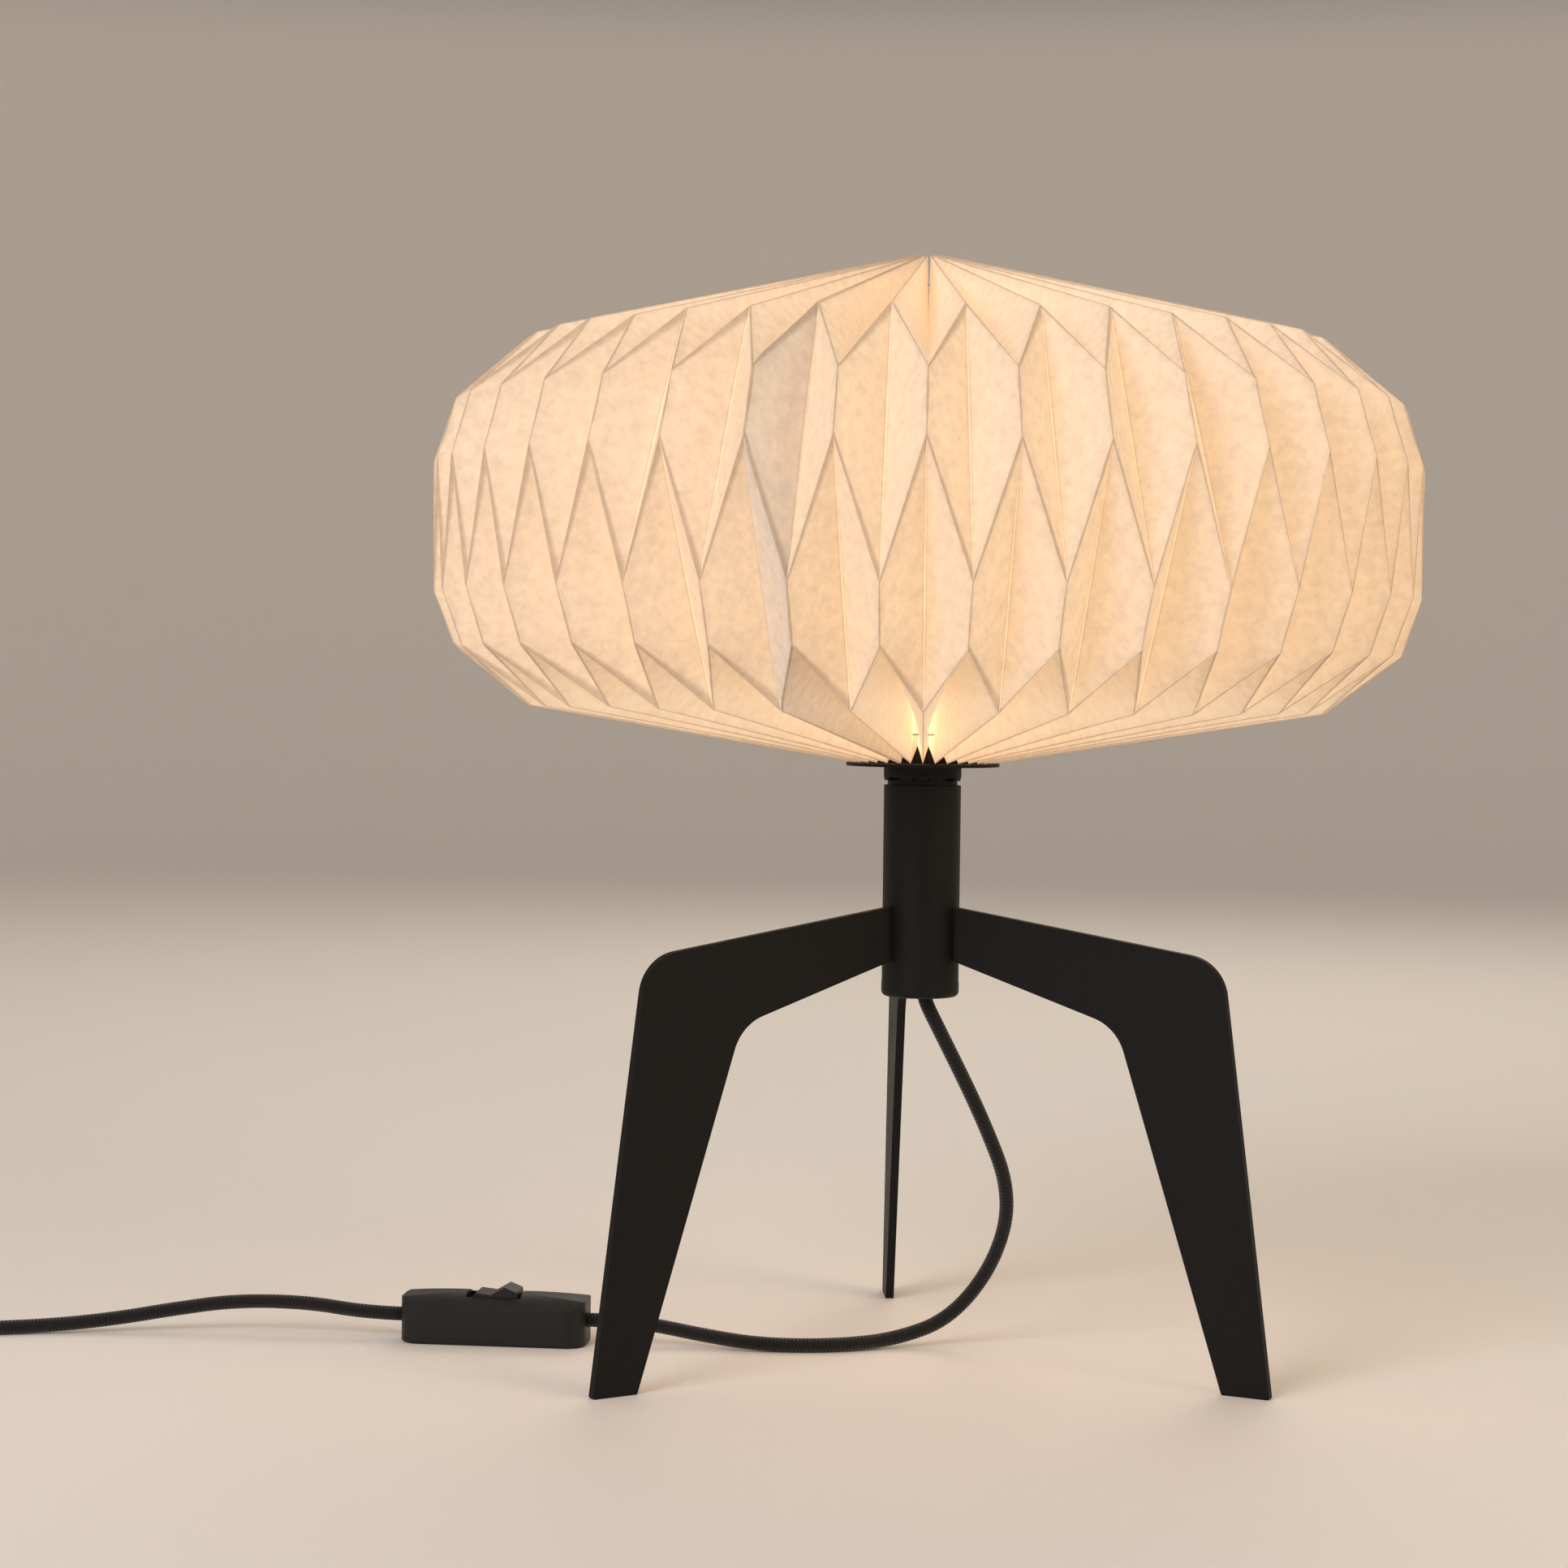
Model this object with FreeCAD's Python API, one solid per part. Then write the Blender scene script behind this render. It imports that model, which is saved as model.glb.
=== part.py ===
import FreeCAD, Part
import math
import os

os.makedirs("parts", exist_ok=True)

# Pleated paper table lamp, in millimetres. +Z is up, +X is right and +Y is away from the viewer.
# The origin is on the floor under the stem's axis. Nodes are separate solids, one STEP file each.

# ---------------------------------------------------------------- driving dimensions
# Tripod legs: flat plates, given as radius from the stem's axis and height over the floor.
LEG_THICKNESS = 4.0
LEG_BACK_TURN = 2.75  # degrees, back leg turned from +Y towards -X
LEG_TOP_AT_STEM = 207.6
LEG_UNDER_AT_STEM = 183.1
KNEE_OUT_R, KNEE_OUT_Z = 145.0, 189.1
KNEE_IN_R, KNEE_IN_Z = 96.7, 157.8
FOOT_OUT_R = 170.0
FOOT_IN_R = 148.0
KNEE_OUT_ROUND = 20.0
KNEE_IN_ROUND = 22.0
FOOT_ROUND = 1.0
TAB_HEIGHT = 20.0
TAB_UNDER_AT = 185.3
TAB_INNER_R = 6.6
SEAT_CLEARANCE = 0.02  # leg shoulder to stem
SLOT_CLEARANCE = 0.1  # leg tab in the stem's slot, each side

# Stem tube, its foot cap and the hub that clamps the legs.
STEM_OD = 35.0
STEM_WALL = 1.5
STEM_TOP = 262.5
STEM_FOOT = 173.0  # lower end of the tube, on the cap's flange
FOOT_CAP_FLANGE = 6.5
FOOT_CAP_OD = 35.3
FOOT_CAP_ROUND = 2.5
FOOT_CAP_SPIGOT = 5.0
FOOT_CAP_MOUTH_R = 7.0
MOUTH_ROUND = 2.0
TURNED_CLEARANCE = 0.1  # turned discs and spigots inside the tube, on the radius
CLAMP_LOWER_THICKNESS = 5.0
CLAMP_UPPER_THICKNESS = 3.0
LIP_INNER_R, LIP_OUTER_R = 10.2, 12.4
LIP_DEPTH = 2.6
LIP_CLEARANCE = 0.2

# Hollow threaded rod and its nuts.
ROD_OD = 10.0
ROD_BORE = 7.0
ROD_TOP = 248.0
THREAD_CLEARANCE = 0.05
NUT_FLATS = 14.0
NUT_THICKNESS = 3.0
WASHER_OD = 18.0
WASHER_THICKNESS = 1.0

# Collar on top of the stem, with a shadow gap under it, and the disc that carries the shade.
COLLAR_OD = 35.3
COLLAR_BORE = 30.0
COLLAR_TOP = 271.2
SHADOW_GAP = 2.2
COLLAR_WEB_AT = 240.0
COLLAR_WEB_THICKNESS = 3.0
VENT_COUNT = 8
VENT_HEIGHT = 1.3
VENT_SPAN = 26.0  # degrees
VENT_FIRST = -49.0  # degrees from the front towards +X
DISC_R = 34.8
DISC_THICKNESS = 1.5
RIVET_LIP = 0.4  # turned-over lip that holds the disc on the collar
RIVET_REACH = 0.9
LOCATING_RIM_R = 26.5
LOCATING_RIM_WALL = 1.0
LOCATING_RIM_HEIGHT = 6.0

# Screw lampholder and bulb.
HOLDER_OD = 28.0
HOLDER_WALL = 1.4
HOLDER_BASE_HEIGHT = 13.0
HOLDER_FLOOR = 7.0
HOLDER_MOUTH_AT = 283.0
HOLDER_MOUTH_R = 9.6
INSERT_AT = 251.0
INSERT_HEIGHT = 7.0
TERMINAL_OFFSET = 8.0
TERMINAL_R = 1.6
SLOT_WIDTH, SLOT_DEPTH = 0.6, 1.0  # slots of the terminal screws
SCREW_SHELL_R = 7.0
SCREW_SHELL_WALL = 0.4
SCREW_SHELL_FOOT = 2.5
EAR_CLEARANCE = 0.5  # screw shell's foot round the terminal screws
CONTACT_HEIGHT = 2.2
CONTACT_WIDTH = 4.0
CONTACT_INSET = 1.0  # contact to the screw shell
BULB_TIP_GAP = 0.1
BULB_THREAD_CLEARANCE = 0.07
BULB_TIP_R, BULB_TIP_HEIGHT = 2.4, 1.2
BULB_INSULATOR_HEIGHT = 2.0
BULB_INSULATOR_INSET = 1.5  # its upper rim inside the screw cap's
BULB_CAP_HEIGHT = 18.0
BULB_CAP_WALL = 0.3
BULB_CAP_ROUND = 1.0
BULB_NECK_HEIGHT = 3.0
BULB_HOUSING_R, BULB_HOUSING_HEIGHT = 16.0, 14.0
BULB_GLOBE_R, BULB_GLOBE_WALL = 22.5, 1.0
LED_BOARD_R, LED_BOARD_THICKNESS = 12.0, 1.6

# Folded shade. Fold lines alternate between E and O lines. Every corner of the folds is given as
# radius and height of the paper's middle surface, from the top hub (0) to the bottom hub (7).
PLEATS = 38
FRONT_FOLD = -2.3  # degrees, the front E line from -Y towards +X
PAPER_THICKNESS = 0.3
SEAM_LINE = -4  # fold line, counted from the front one, where the two sheets meet on the left
CORNER_E0 = (7.0, 474.7)
CORNER_E2 = (213.8, 432.6)
CORNER_E3 = (222.4, 405.3)
CORNER_E6 = (179.8, 297.1)
CORNER_E7_R = 34.0
CORNER_O0 = (8.5, 501.5)
CORNER_O1 = (180.7, 460.7)
CORNER_O4 = (221.9, 347.9)
CORNER_O5 = (213.2, 323.1)
CORNER_O7 = (30.0, 299.5)
SHADE_SEAT_GAP = 0.3  # pleat tips over the disc
FAN_STEPS = 3  # steps along the twisted panels that fan out from the hubs
TIE_WIRE = 1.0
TIE_HOLE_CLEARANCE = 0.4
BOTTOM_TIE_R, BOTTOM_TIE_OVER_FOLD = 37.0, 12.4  # height over the E fold line there
TOP_TIE_R, TOP_TIE_OVER_FOLD = 11.0, 13.6

# In-line rocker switch, in its own frame: x along the cord, z up from its underside.
SWITCH_LENGTH = 87.0
SWITCH_WIDTH = 29.0
SWITCH_HEIGHT = 23.6
SWITCH_END_HEIGHT = 21.0
SWITCH_EDGE_HEIGHT = 17.0
SWITCH_PART_LINE = 14.0
SWITCH_CORNER = 9.0
SWITCH_EDGE_ROUND = 1.6
SWITCH_CENTRE = (-194.3, 31.0)
SWITCH_TURN = -6.5  # degrees about +Z
SWITCH_CORD_Z = 11.3
CAVITY_LENGTH, CAVITY_WIDTH = 66.0, 23.0
CAVITY_FLOOR = 2.4
CAVITY_ROOF = 17.4
ROCKER_WELL = 31.0
ROCKER_LENGTH, ROCKER_WIDTH = 24.0, 16.0
ROCKER_GAP = 0.45
ROCKER_SWING = 0.5  # more room at each end, for the tilt
ROCKER_PIVOT_Z = 17.7
ROCKER_TILT = 12.0
ROCKER_PEAK = (7.0, 7.5)
ROCKER_DIP = 5.2
ROCKER_END_TOP = 4.2
ROCKER_END_LOW = 0.6
ROCKER_FOOT = (4.5, -4.0)
PIVOT_R = 1.25
PIVOT_CLEARANCE = 0.05
CHEEK_LENGTH, CHEEK_THICKNESS = 8.0, 1.8
CHEEK_GAP = 0.3
CHEEK_CREST = 0.6  # cheek above the pivot pin
CLAMP_BAR = (4.0, 12.0, 2.4)
CLAMP_AT = 26.0
CLAMP_BITE_GAP = 0.05
TERMINAL_BLOCK = (8.0, 8.0, 5.0)
TERMINAL_BLOCK_AT = 15.5
TERMINAL_SCREW_RISE = 1.0  # foot over the cavity's floor and head over the block
CONTACT_STRIP = 1.0
CORE_END_INSET = 1.0  # cores into the terminal blocks
CASE_SCREW_R, CASE_SCREW_HEAD_R, CASE_SCREW_HEAD = 1.25, 2.4, 1.4
CASE_SCREW_LENGTH = 15.0
CASE_SCREW_AT = (37.5, 8.0)

# Braided cord, coil and plug.
CORD_D = 6.5
CORE_D = 2.0
CORE_SPREAD = 1.6
CORD_CLEARANCE = 0.15
SHEATH_END_GAP = 2.0  # end of the braid below the rod's top
BUSH_OD = 14.0
BUSH_THICKNESS = 1.0
FLOOR_LIFT = 0.05  # underside of the lying cord over the floor
COIL_CENTRE = (-512.0, 62.0)
COIL_OUTER_R = 45.0
COIL_PITCH = 7.0
COIL_LAYER = 7.0
COIL_TURNS = 5
COIL_CLIMB = 0.5  # turns over which the cord rises to the upper layer
COIL_STEPS = 8  # pairs of arcs in each turn
COIL_START_DIR = (-1.0, 0.0, 0.0)
COIL_END_DIR = (-1.0, 0.0, 0.0)
PLUG_PIN_D, PLUG_PIN_LENGTH, PLUG_PIN_SPACING = 4.0, 19.0, 18.6
PLUG_FACE = (35.3, 13.7)
PLUG_LENGTH = 24.0
PLUG_FACE_DEPTH = 4.0  # straight part behind the pin face
PLUG_BEVEL = 0.35  # of the height, at each corner
PLUG_PIN_TIP = 0.3  # flat left at the rounded tip, on the radius
PLUG_TAIL = (16.0, 12.0)
RELIEF_LENGTH = 16.0
RELIEF_R = 4.6
RELIEF_GROOVES, RELIEF_GROOVE_DEPTH = 4, 0.8
PLUG_AT = (-633.0, 70.0)  # middle of the plug's pin face
PLUG_TURN = 55.0  # degrees, the pins' direction from +Y towards -X

# How the solids are made.
OVERCUT = 1.0  # a cutting tool runs past the faces that it cuts
FUSE_LAP = 0.5  # fused pieces run into each other
NEAR = 0.01  # edges are picked within this distance

V = FreeCAD.Vector
UP = V(0, 0, 1)
TAU = 2.0 * math.pi


# ---------------------------------------------------------------- small helpers
def disc(radius, low, high, centre=(0.0, 0.0)):
    return Part.makeCylinder(radius, high - low, V(centre[0], centre[1], low))


def tube(outer, inner, low, high):
    return disc(outer, low, high).cut(disc(inner, low - OVERCUT, high + OVERCUT))


def lying(radius, start_y, length, x=0.0, z=0.0):
    """A cylinder along +Y."""
    return Part.makeCylinder(radius, length, V(x, start_y, z), V(0, 1, 0))


def block(size, centre, low):
    x, y, z = size
    return Part.makeBox(x, y, z, V(centre[0] - x / 2, centre[1] - y / 2, low))


def outline(points):
    corners = [V(*p) for p in points]
    return Part.Face(Part.makePolygon(corners + corners[:1]))


def turned(profile):
    """A solid of revolution from (radius, height) corners."""
    return outline([(r, 0, z) for r, z in profile]).revolve(V(), UP, 360)


def six_corners(reach):
    """Corners of a regular hexagon round the origin."""
    angles = [math.radians(60 * k) for k in range(6)]
    return [(reach * math.cos(a), reach * math.sin(a)) for a in angles]


def hex_nut(flats, low, high, bore):
    corners = [(x, y, low) for x, y in six_corners(flats / math.sqrt(3))]
    return outline(corners).extrude(V(0, 0, high - low)).cut(disc(bore, low - OVERCUT, high + OVERCUT))


def edges_where(solid, test):
    return [edge for edge in solid.Edges if test(edge)]


def turn_about_axis(shape, degrees):
    copy = shape.copy()
    copy.rotate(V(), UP, degrees)
    return copy


parts = {}

# ---------------------------------------------------------------- stem, legs and hub
stem_r = STEM_OD / 2
stem_bore_r = stem_r - STEM_WALL
tab_top = TAB_UNDER_AT + TAB_HEIGHT
shoulder_r = stem_r + SEAT_CLEARANCE
leg_turns = [LEG_BACK_TURN + 120.0 * k for k in range(3)]  # back, left, right


def along(start, end, x):
    """Height at x on the line from start to end."""
    return start[1] + (end[1] - start[1]) * (x - start[0]) / (end[0] - start[0])


def leg_plate():
    """One leg, built along +Y, with its tab and the two notches for the clamp lips."""
    top_start, knee_out = (stem_r, LEG_TOP_AT_STEM), (KNEE_OUT_R, KNEE_OUT_Z)
    under_start, knee_in = (stem_r, LEG_UNDER_AT_STEM), (KNEE_IN_R, KNEE_IN_Z)
    profile = [
        (shoulder_r, along(top_start, knee_out, shoulder_r)),
        knee_out,
        (FOOT_OUT_R, 0.0),
        (FOOT_IN_R, 0.0),
        knee_in,
        (shoulder_r, along(under_start, knee_in, shoulder_r)),
    ]
    plate = outline([(-LEG_THICKNESS / 2, r, z) for r, z in profile]).extrude(V(LEG_THICKNESS, 0, 0))
    rounds = {
        (KNEE_OUT_R, KNEE_OUT_Z): KNEE_OUT_ROUND,
        (KNEE_IN_R, KNEE_IN_Z): KNEE_IN_ROUND,
        (FOOT_OUT_R, 0.0): FOOT_ROUND,
        (FOOT_IN_R, 0.0): FOOT_ROUND,
    }
    for (r, z), radius in rounds.items():
        corner = edges_where(plate, lambda e: all(math.hypot(v.Y - r, v.Z - z) < NEAR for v in e.Vertexes))
        plate = plate.makeFillet(radius, corner)
    tab = Part.makeBox(LEG_THICKNESS, shoulder_r - TAB_INNER_R + FUSE_LAP, TAB_HEIGHT,
                       V(-LEG_THICKNESS / 2, TAB_INNER_R, TAB_UNDER_AT))
    notch_length = LIP_OUTER_R - LIP_INNER_R + 2 * LIP_CLEARANCE
    notch_depth = LIP_DEPTH + LIP_CLEARANCE
    notch_size = (LEG_THICKNESS + 2 * OVERCUT, notch_length, notch_depth)
    for low in (TAB_UNDER_AT, tab_top - notch_depth):
        tab = tab.cut(block(notch_size, (0, (LIP_INNER_R + LIP_OUTER_R) / 2), low))
    return plate.fuse(tab).removeSplitter()


def stem_tube():
    shell = tube(stem_r, stem_bore_r, STEM_FOOT, STEM_TOP)
    slot_size = (LEG_THICKNESS + 2 * SLOT_CLEARANCE, STEM_OD, TAB_HEIGHT + 2 * SLOT_CLEARANCE)
    slot = block(slot_size, (0, STEM_OD / 2 + TAB_INNER_R), TAB_UNDER_AT - SLOT_CLEARANCE)
    for turn in leg_turns:
        shell = shell.cut(turn_about_axis(slot, turn))
    return shell


def stem_foot_cap():
    """Turned cap with a rounded rim and a bell mouth for the cord."""
    low = STEM_FOOT - FOOT_CAP_FLANGE
    flange = disc(FOOT_CAP_OD / 2, low, STEM_FOOT)
    rim = edges_where(flange, lambda e: e.BoundBox.ZMax < low + NEAR and e.Closed)
    flange = flange.makeFillet(FOOT_CAP_ROUND, rim)
    spigot_r = stem_bore_r - TURNED_CLEARANCE
    spigot = tube(spigot_r, spigot_r - STEM_WALL, STEM_FOOT, STEM_FOOT + FOOT_CAP_SPIGOT)
    cap = flange.fuse(spigot).cut(disc(FOOT_CAP_MOUTH_R, low - OVERCUT, STEM_FOOT + OVERCUT))

    def is_mouth(edge):
        box = edge.BoundBox
        return box.ZMax < low + NEAR and abs(box.XMax - FOOT_CAP_MOUTH_R) < NEAR

    return cap.makeFillet(MOUTH_ROUND, edges_where(cap, is_mouth))


def leg_clamp(face, thickness, bore, side):
    """A turned disc on the leg tabs. Its lip drops into their notches. side is +1 above, -1 below."""
    plate = tube(stem_bore_r - TURNED_CLEARANCE, bore, *sorted((face, face + side * thickness)))
    lip = tube(LIP_OUTER_R, LIP_INNER_R, *sorted((face - side * LIP_DEPTH, face + side * FUSE_LAP)))
    return plate.fuse(lip).removeSplitter()


rod_r = ROD_OD / 2
thread_r = rod_r + THREAD_CLEARANCE
rod_foot = TAB_UNDER_AT - CLAMP_LOWER_THICKNESS
parts["stem_tube"] = stem_tube()
parts["stem_foot_cap"] = stem_foot_cap()
for name, turn in zip(("leg_back", "leg_left", "leg_right"), leg_turns):
    parts[name] = turn_about_axis(leg_plate(), turn)
parts["leg_clamp_lower"] = leg_clamp(TAB_UNDER_AT, CLAMP_LOWER_THICKNESS, thread_r, -1)
parts["leg_clamp_upper"] = leg_clamp(tab_top, CLAMP_UPPER_THICKNESS, thread_r, 1)
washer_at = tab_top + CLAMP_UPPER_THICKNESS
nut_at = washer_at + WASHER_THICKNESS
parts["leg_washer"] = tube(WASHER_OD / 2, thread_r, washer_at, nut_at)
parts["leg_nut"] = hex_nut(NUT_FLATS, nut_at, nut_at + NUT_THICKNESS, thread_r)
parts["threaded_rod"] = tube(rod_r, ROD_BORE / 2, rod_foot, ROD_TOP)

# ---------------------------------------------------------------- collar and shade disc
collar_bore_r = COLLAR_BORE / 2
neck_r = stem_bore_r - TURNED_CLEARANCE
collar_foot = STEM_TOP + SHADOW_GAP
disc_top = COLLAR_TOP + DISC_THICKNESS
disc_hole_r = neck_r + TURNED_CLEARANCE


def vent():
    """One notch in the collar's lower edge, as a wedge round the axis."""
    wedge = Part.makeCylinder(COLLAR_OD, VENT_HEIGHT, V(0, 0, collar_foot), UP, VENT_SPAN)
    wedge.rotate(V(), UP, -90 + VENT_FIRST - VENT_SPAN / 2)
    return wedge.cut(disc(collar_bore_r - OVERCUT, collar_foot - OVERCUT, COLLAR_TOP))


def collar():
    """Turned cup: web on the rod, neck inside the stem, flange over the shadow gap, riveted lip."""
    lip_top = disc_top + RIVET_LIP
    cup = turned([
        (thread_r, COLLAR_WEB_AT),
        (neck_r, COLLAR_WEB_AT),
        (neck_r, collar_foot),
        (COLLAR_OD / 2, collar_foot),
        (COLLAR_OD / 2, COLLAR_TOP),
        (neck_r, COLLAR_TOP),
        (neck_r, disc_top),
        (neck_r + RIVET_REACH, disc_top),
        (neck_r + RIVET_REACH, lip_top),
        (collar_bore_r, lip_top),
        (collar_bore_r, COLLAR_WEB_AT + COLLAR_WEB_THICKNESS),
        (thread_r, COLLAR_WEB_AT + COLLAR_WEB_THICKNESS),
    ])
    notch = vent()
    for k in range(VENT_COUNT):
        cup = cup.cut(turn_about_axis(notch, 360.0 * k / VENT_COUNT))
    return cup


def shade_disc():
    plate = tube(DISC_R, disc_hole_r, COLLAR_TOP, disc_top)
    rim = tube(LOCATING_RIM_R, LOCATING_RIM_R - LOCATING_RIM_WALL, COLLAR_TOP, disc_top + LOCATING_RIM_HEIGHT)
    return plate.fuse(rim).removeSplitter()


parts["collar"] = collar()
parts["collar_nut"] = hex_nut(NUT_FLATS, COLLAR_WEB_AT - NUT_THICKNESS, COLLAR_WEB_AT, thread_r)
parts["shade_disc"] = shade_disc()

# ---------------------------------------------------------------- lampholder
holder_r = HOLDER_OD / 2
holder_at = COLLAR_WEB_AT + COLLAR_WEB_THICKNESS
holder_split = holder_at + HOLDER_BASE_HEIGHT
insert_top = INSERT_AT + INSERT_HEIGHT
insert_r = holder_r - HOLDER_WALL - TURNED_CLEARANCE
shell_at = insert_top
shell_top = HOLDER_MOUTH_AT - HOLDER_WALL - TURNED_CLEARANCE


def lampholder_base():
    """Cup screwed on the rod, with a bevelled foot."""
    inner = holder_r - HOLDER_WALL
    bevel = HOLDER_WALL
    return turned([
        (thread_r, holder_at),
        (holder_r - bevel, holder_at),
        (holder_r, holder_at + bevel),
        (holder_r, holder_split),
        (inner, holder_split),
        (inner, holder_at + HOLDER_FLOOR),
        (thread_r, holder_at + HOLDER_FLOOR),
    ])


def lampholder_skirt():
    """Sleeve with a turned-in mouth that keeps the screw shell."""
    inner = holder_r - HOLDER_WALL
    return turned([
        (inner, holder_split),
        (holder_r, holder_split),
        (holder_r, HOLDER_MOUTH_AT),
        (HOLDER_MOUTH_R, HOLDER_MOUTH_AT),
        (HOLDER_MOUTH_R, HOLDER_MOUTH_AT - HOLDER_WALL),
        (inner, HOLDER_MOUTH_AT - HOLDER_WALL),
    ])


def lampholder_insert():
    """Insulating block with the two terminal holes and the way through for the cores."""
    screw_foot = INSERT_AT + CORE_D
    body = disc(insert_r, INSERT_AT, insert_top).cut(disc(CORD_D / 2, INSERT_AT - OVERCUT, screw_foot))
    for side in (-1, 1):
        centre = (side * TERMINAL_OFFSET, 0)
        body = body.cut(disc(TERMINAL_R + THREAD_CLEARANCE, screw_foot, insert_top + OVERCUT, centre))
    return body


def screw_shell():
    """Threaded shell with an outward foot that the insert carries."""
    outer = SCREW_SHELL_R + SCREW_SHELL_WALL
    wall = tube(outer, SCREW_SHELL_R, shell_at, shell_top)
    foot_top = shell_at + SCREW_SHELL_WALL
    foot = tube(outer + SCREW_SHELL_FOOT, outer - SCREW_SHELL_WALL / 2, shell_at, foot_top)
    for side in (-1, 1):
        centre = (side * TERMINAL_OFFSET, 0)
        foot = foot.cut(disc(TERMINAL_R + EAR_CLEARANCE, shell_at - OVERCUT, foot_top + OVERCUT, centre))
    return wall.fuse(foot).removeSplitter()


def centre_contact():
    """Sprung brass tongue: a foot on the insert, a riser and the arm under the bulb's tip."""
    reach = SCREW_SHELL_R - CONTACT_INSET
    strip = SCREW_SHELL_WALL
    corners = [
        (-reach, shell_at),
        (0, shell_at),
        (0, shell_at + strip),
        (-reach + strip, shell_at + strip),
        (-reach + strip, shell_at + CONTACT_HEIGHT - strip),
        (BULB_TIP_R, shell_at + CONTACT_HEIGHT - strip),
        (BULB_TIP_R, shell_at + CONTACT_HEIGHT),
        (-reach, shell_at + CONTACT_HEIGHT),
    ]
    return outline([(x, -CONTACT_WIDTH / 2, z) for x, z in corners]).extrude(V(0, CONTACT_WIDTH, 0))


def terminal_screws():
    """The two slotted screws that hold the cores, flush with the insert."""
    screws = []
    for side in (-1, 1):
        centre = (side * TERMINAL_OFFSET, 0)
        screw = disc(TERMINAL_R, INSERT_AT + CORE_D, insert_top, centre)
        slot_size = (SLOT_WIDTH, 2 * (TERMINAL_R + OVERCUT), SLOT_DEPTH)
        screws.append(screw.cut(block(slot_size, centre, insert_top - SLOT_DEPTH)))
    return Part.makeCompound(screws)


parts["lampholder_base"] = lampholder_base()
parts["lampholder_skirt"] = lampholder_skirt()
parts["lampholder_insert"] = lampholder_insert()
parts["lampholder_screw_shell"] = screw_shell()
parts["lampholder_centre_contact"] = centre_contact()
parts["lampholder_terminal_screws"] = terminal_screws()

# ---------------------------------------------------------------- bulb
tip_at = shell_at + CONTACT_HEIGHT + BULB_TIP_GAP
insulator_at = tip_at + BULB_TIP_HEIGHT
cap_at = insulator_at + BULB_INSULATOR_HEIGHT
cap_top = cap_at + BULB_CAP_HEIGHT
bulb_cap_r = SCREW_SHELL_R - BULB_THREAD_CLEARANCE
housing_top = cap_top + BULB_NECK_HEIGHT + BULB_HOUSING_HEIGHT
globe_z = housing_top + math.sqrt(BULB_GLOBE_R**2 - BULB_HOUSING_R**2)


def bulb_globe():
    """Opal ball, hollow, cut flat where it sits on the housing."""
    centre = V(0, 0, globe_z)
    hollow = Part.makeSphere(BULB_GLOBE_R - BULB_GLOBE_WALL, centre)
    shell = Part.makeSphere(BULB_GLOBE_R, centre).cut(hollow)
    return shell.cut(disc(BULB_GLOBE_R + OVERCUT, globe_z - BULB_GLOBE_R - OVERCUT, housing_top))


def bulb_housing():
    """Flared plastic neck between the screw cap and the globe, with the seat of the LED board."""
    floor = cap_top + BULB_NECK_HEIGHT
    return turned([
        (0, cap_top),
        (bulb_cap_r, cap_top),
        (bulb_cap_r, floor),
        (BULB_HOUSING_R, housing_top),
        (LED_BOARD_R + TURNED_CLEARANCE, housing_top),
        (LED_BOARD_R + TURNED_CLEARANCE, housing_top - LED_BOARD_THICKNESS),
        (0, housing_top - LED_BOARD_THICKNESS),
    ])


def bulb_screw_cap():
    hollow = disc(bulb_cap_r - BULB_CAP_WALL, cap_at + BULB_CAP_WALL, cap_top + OVERCUT)
    cup = disc(bulb_cap_r, cap_at, cap_top).cut(hollow)
    rim = edges_where(cup, lambda e: e.BoundBox.ZMax < cap_at + NEAR and e.Closed)
    return cup.makeFillet(BULB_CAP_ROUND, rim)


def bulb_insulator():
    """Cone of dark glass between the tip contact and the screw cap."""
    upper_r = bulb_cap_r - BULB_INSULATOR_INSET
    return turned([(0, insulator_at), (BULB_TIP_R, insulator_at), (upper_r, cap_at), (0, cap_at)])


parts["bulb_tip_contact"] = disc(BULB_TIP_R, tip_at, insulator_at)
parts["bulb_insulator"] = bulb_insulator()
parts["bulb_screw_cap"] = bulb_screw_cap()
parts["bulb_housing"] = bulb_housing()
parts["bulb_led_board"] = disc(LED_BOARD_R, housing_top - LED_BOARD_THICKNESS, housing_top)
parts["bulb_globe"] = bulb_globe()

# ---------------------------------------------------------------- folded paper shade
FOLD_LINES = 2 * PLEATS
FOLD_STEP = TAU / FOLD_LINES
corner_e7 = (CORNER_E7_R, disc_top + SHADE_SEAT_GAP + PAPER_THICKNESS / 2)


def steps(start, end, count):
    return [(start[0] + (end[0] - start[0]) * k / count, start[1] + (end[1] - start[1]) * k / count)
            for k in range(count)]


# Corners along each kind of fold line. The pair at one place is joined by a crease across.
LINE_E = steps(CORNER_E0, CORNER_E2, FAN_STEPS) + [CORNER_E2, CORNER_E3]
LINE_E += steps(CORNER_E6, corner_e7, FAN_STEPS) + [corner_e7]
LINE_O = steps(CORNER_O0, CORNER_O1, FAN_STEPS) + [CORNER_O1, CORNER_O4]
LINE_O += steps(CORNER_O5, CORNER_O7, FAN_STEPS) + [CORNER_O7]
LAST = len(LINE_E) - 1
SHOULDERS = (FAN_STEPS, FAN_STEPS + 1, FAN_STEPS + 2)  # where two panels meet on a crease across


def unit(vector):
    return vector * (1.0 / vector.Length)


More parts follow.
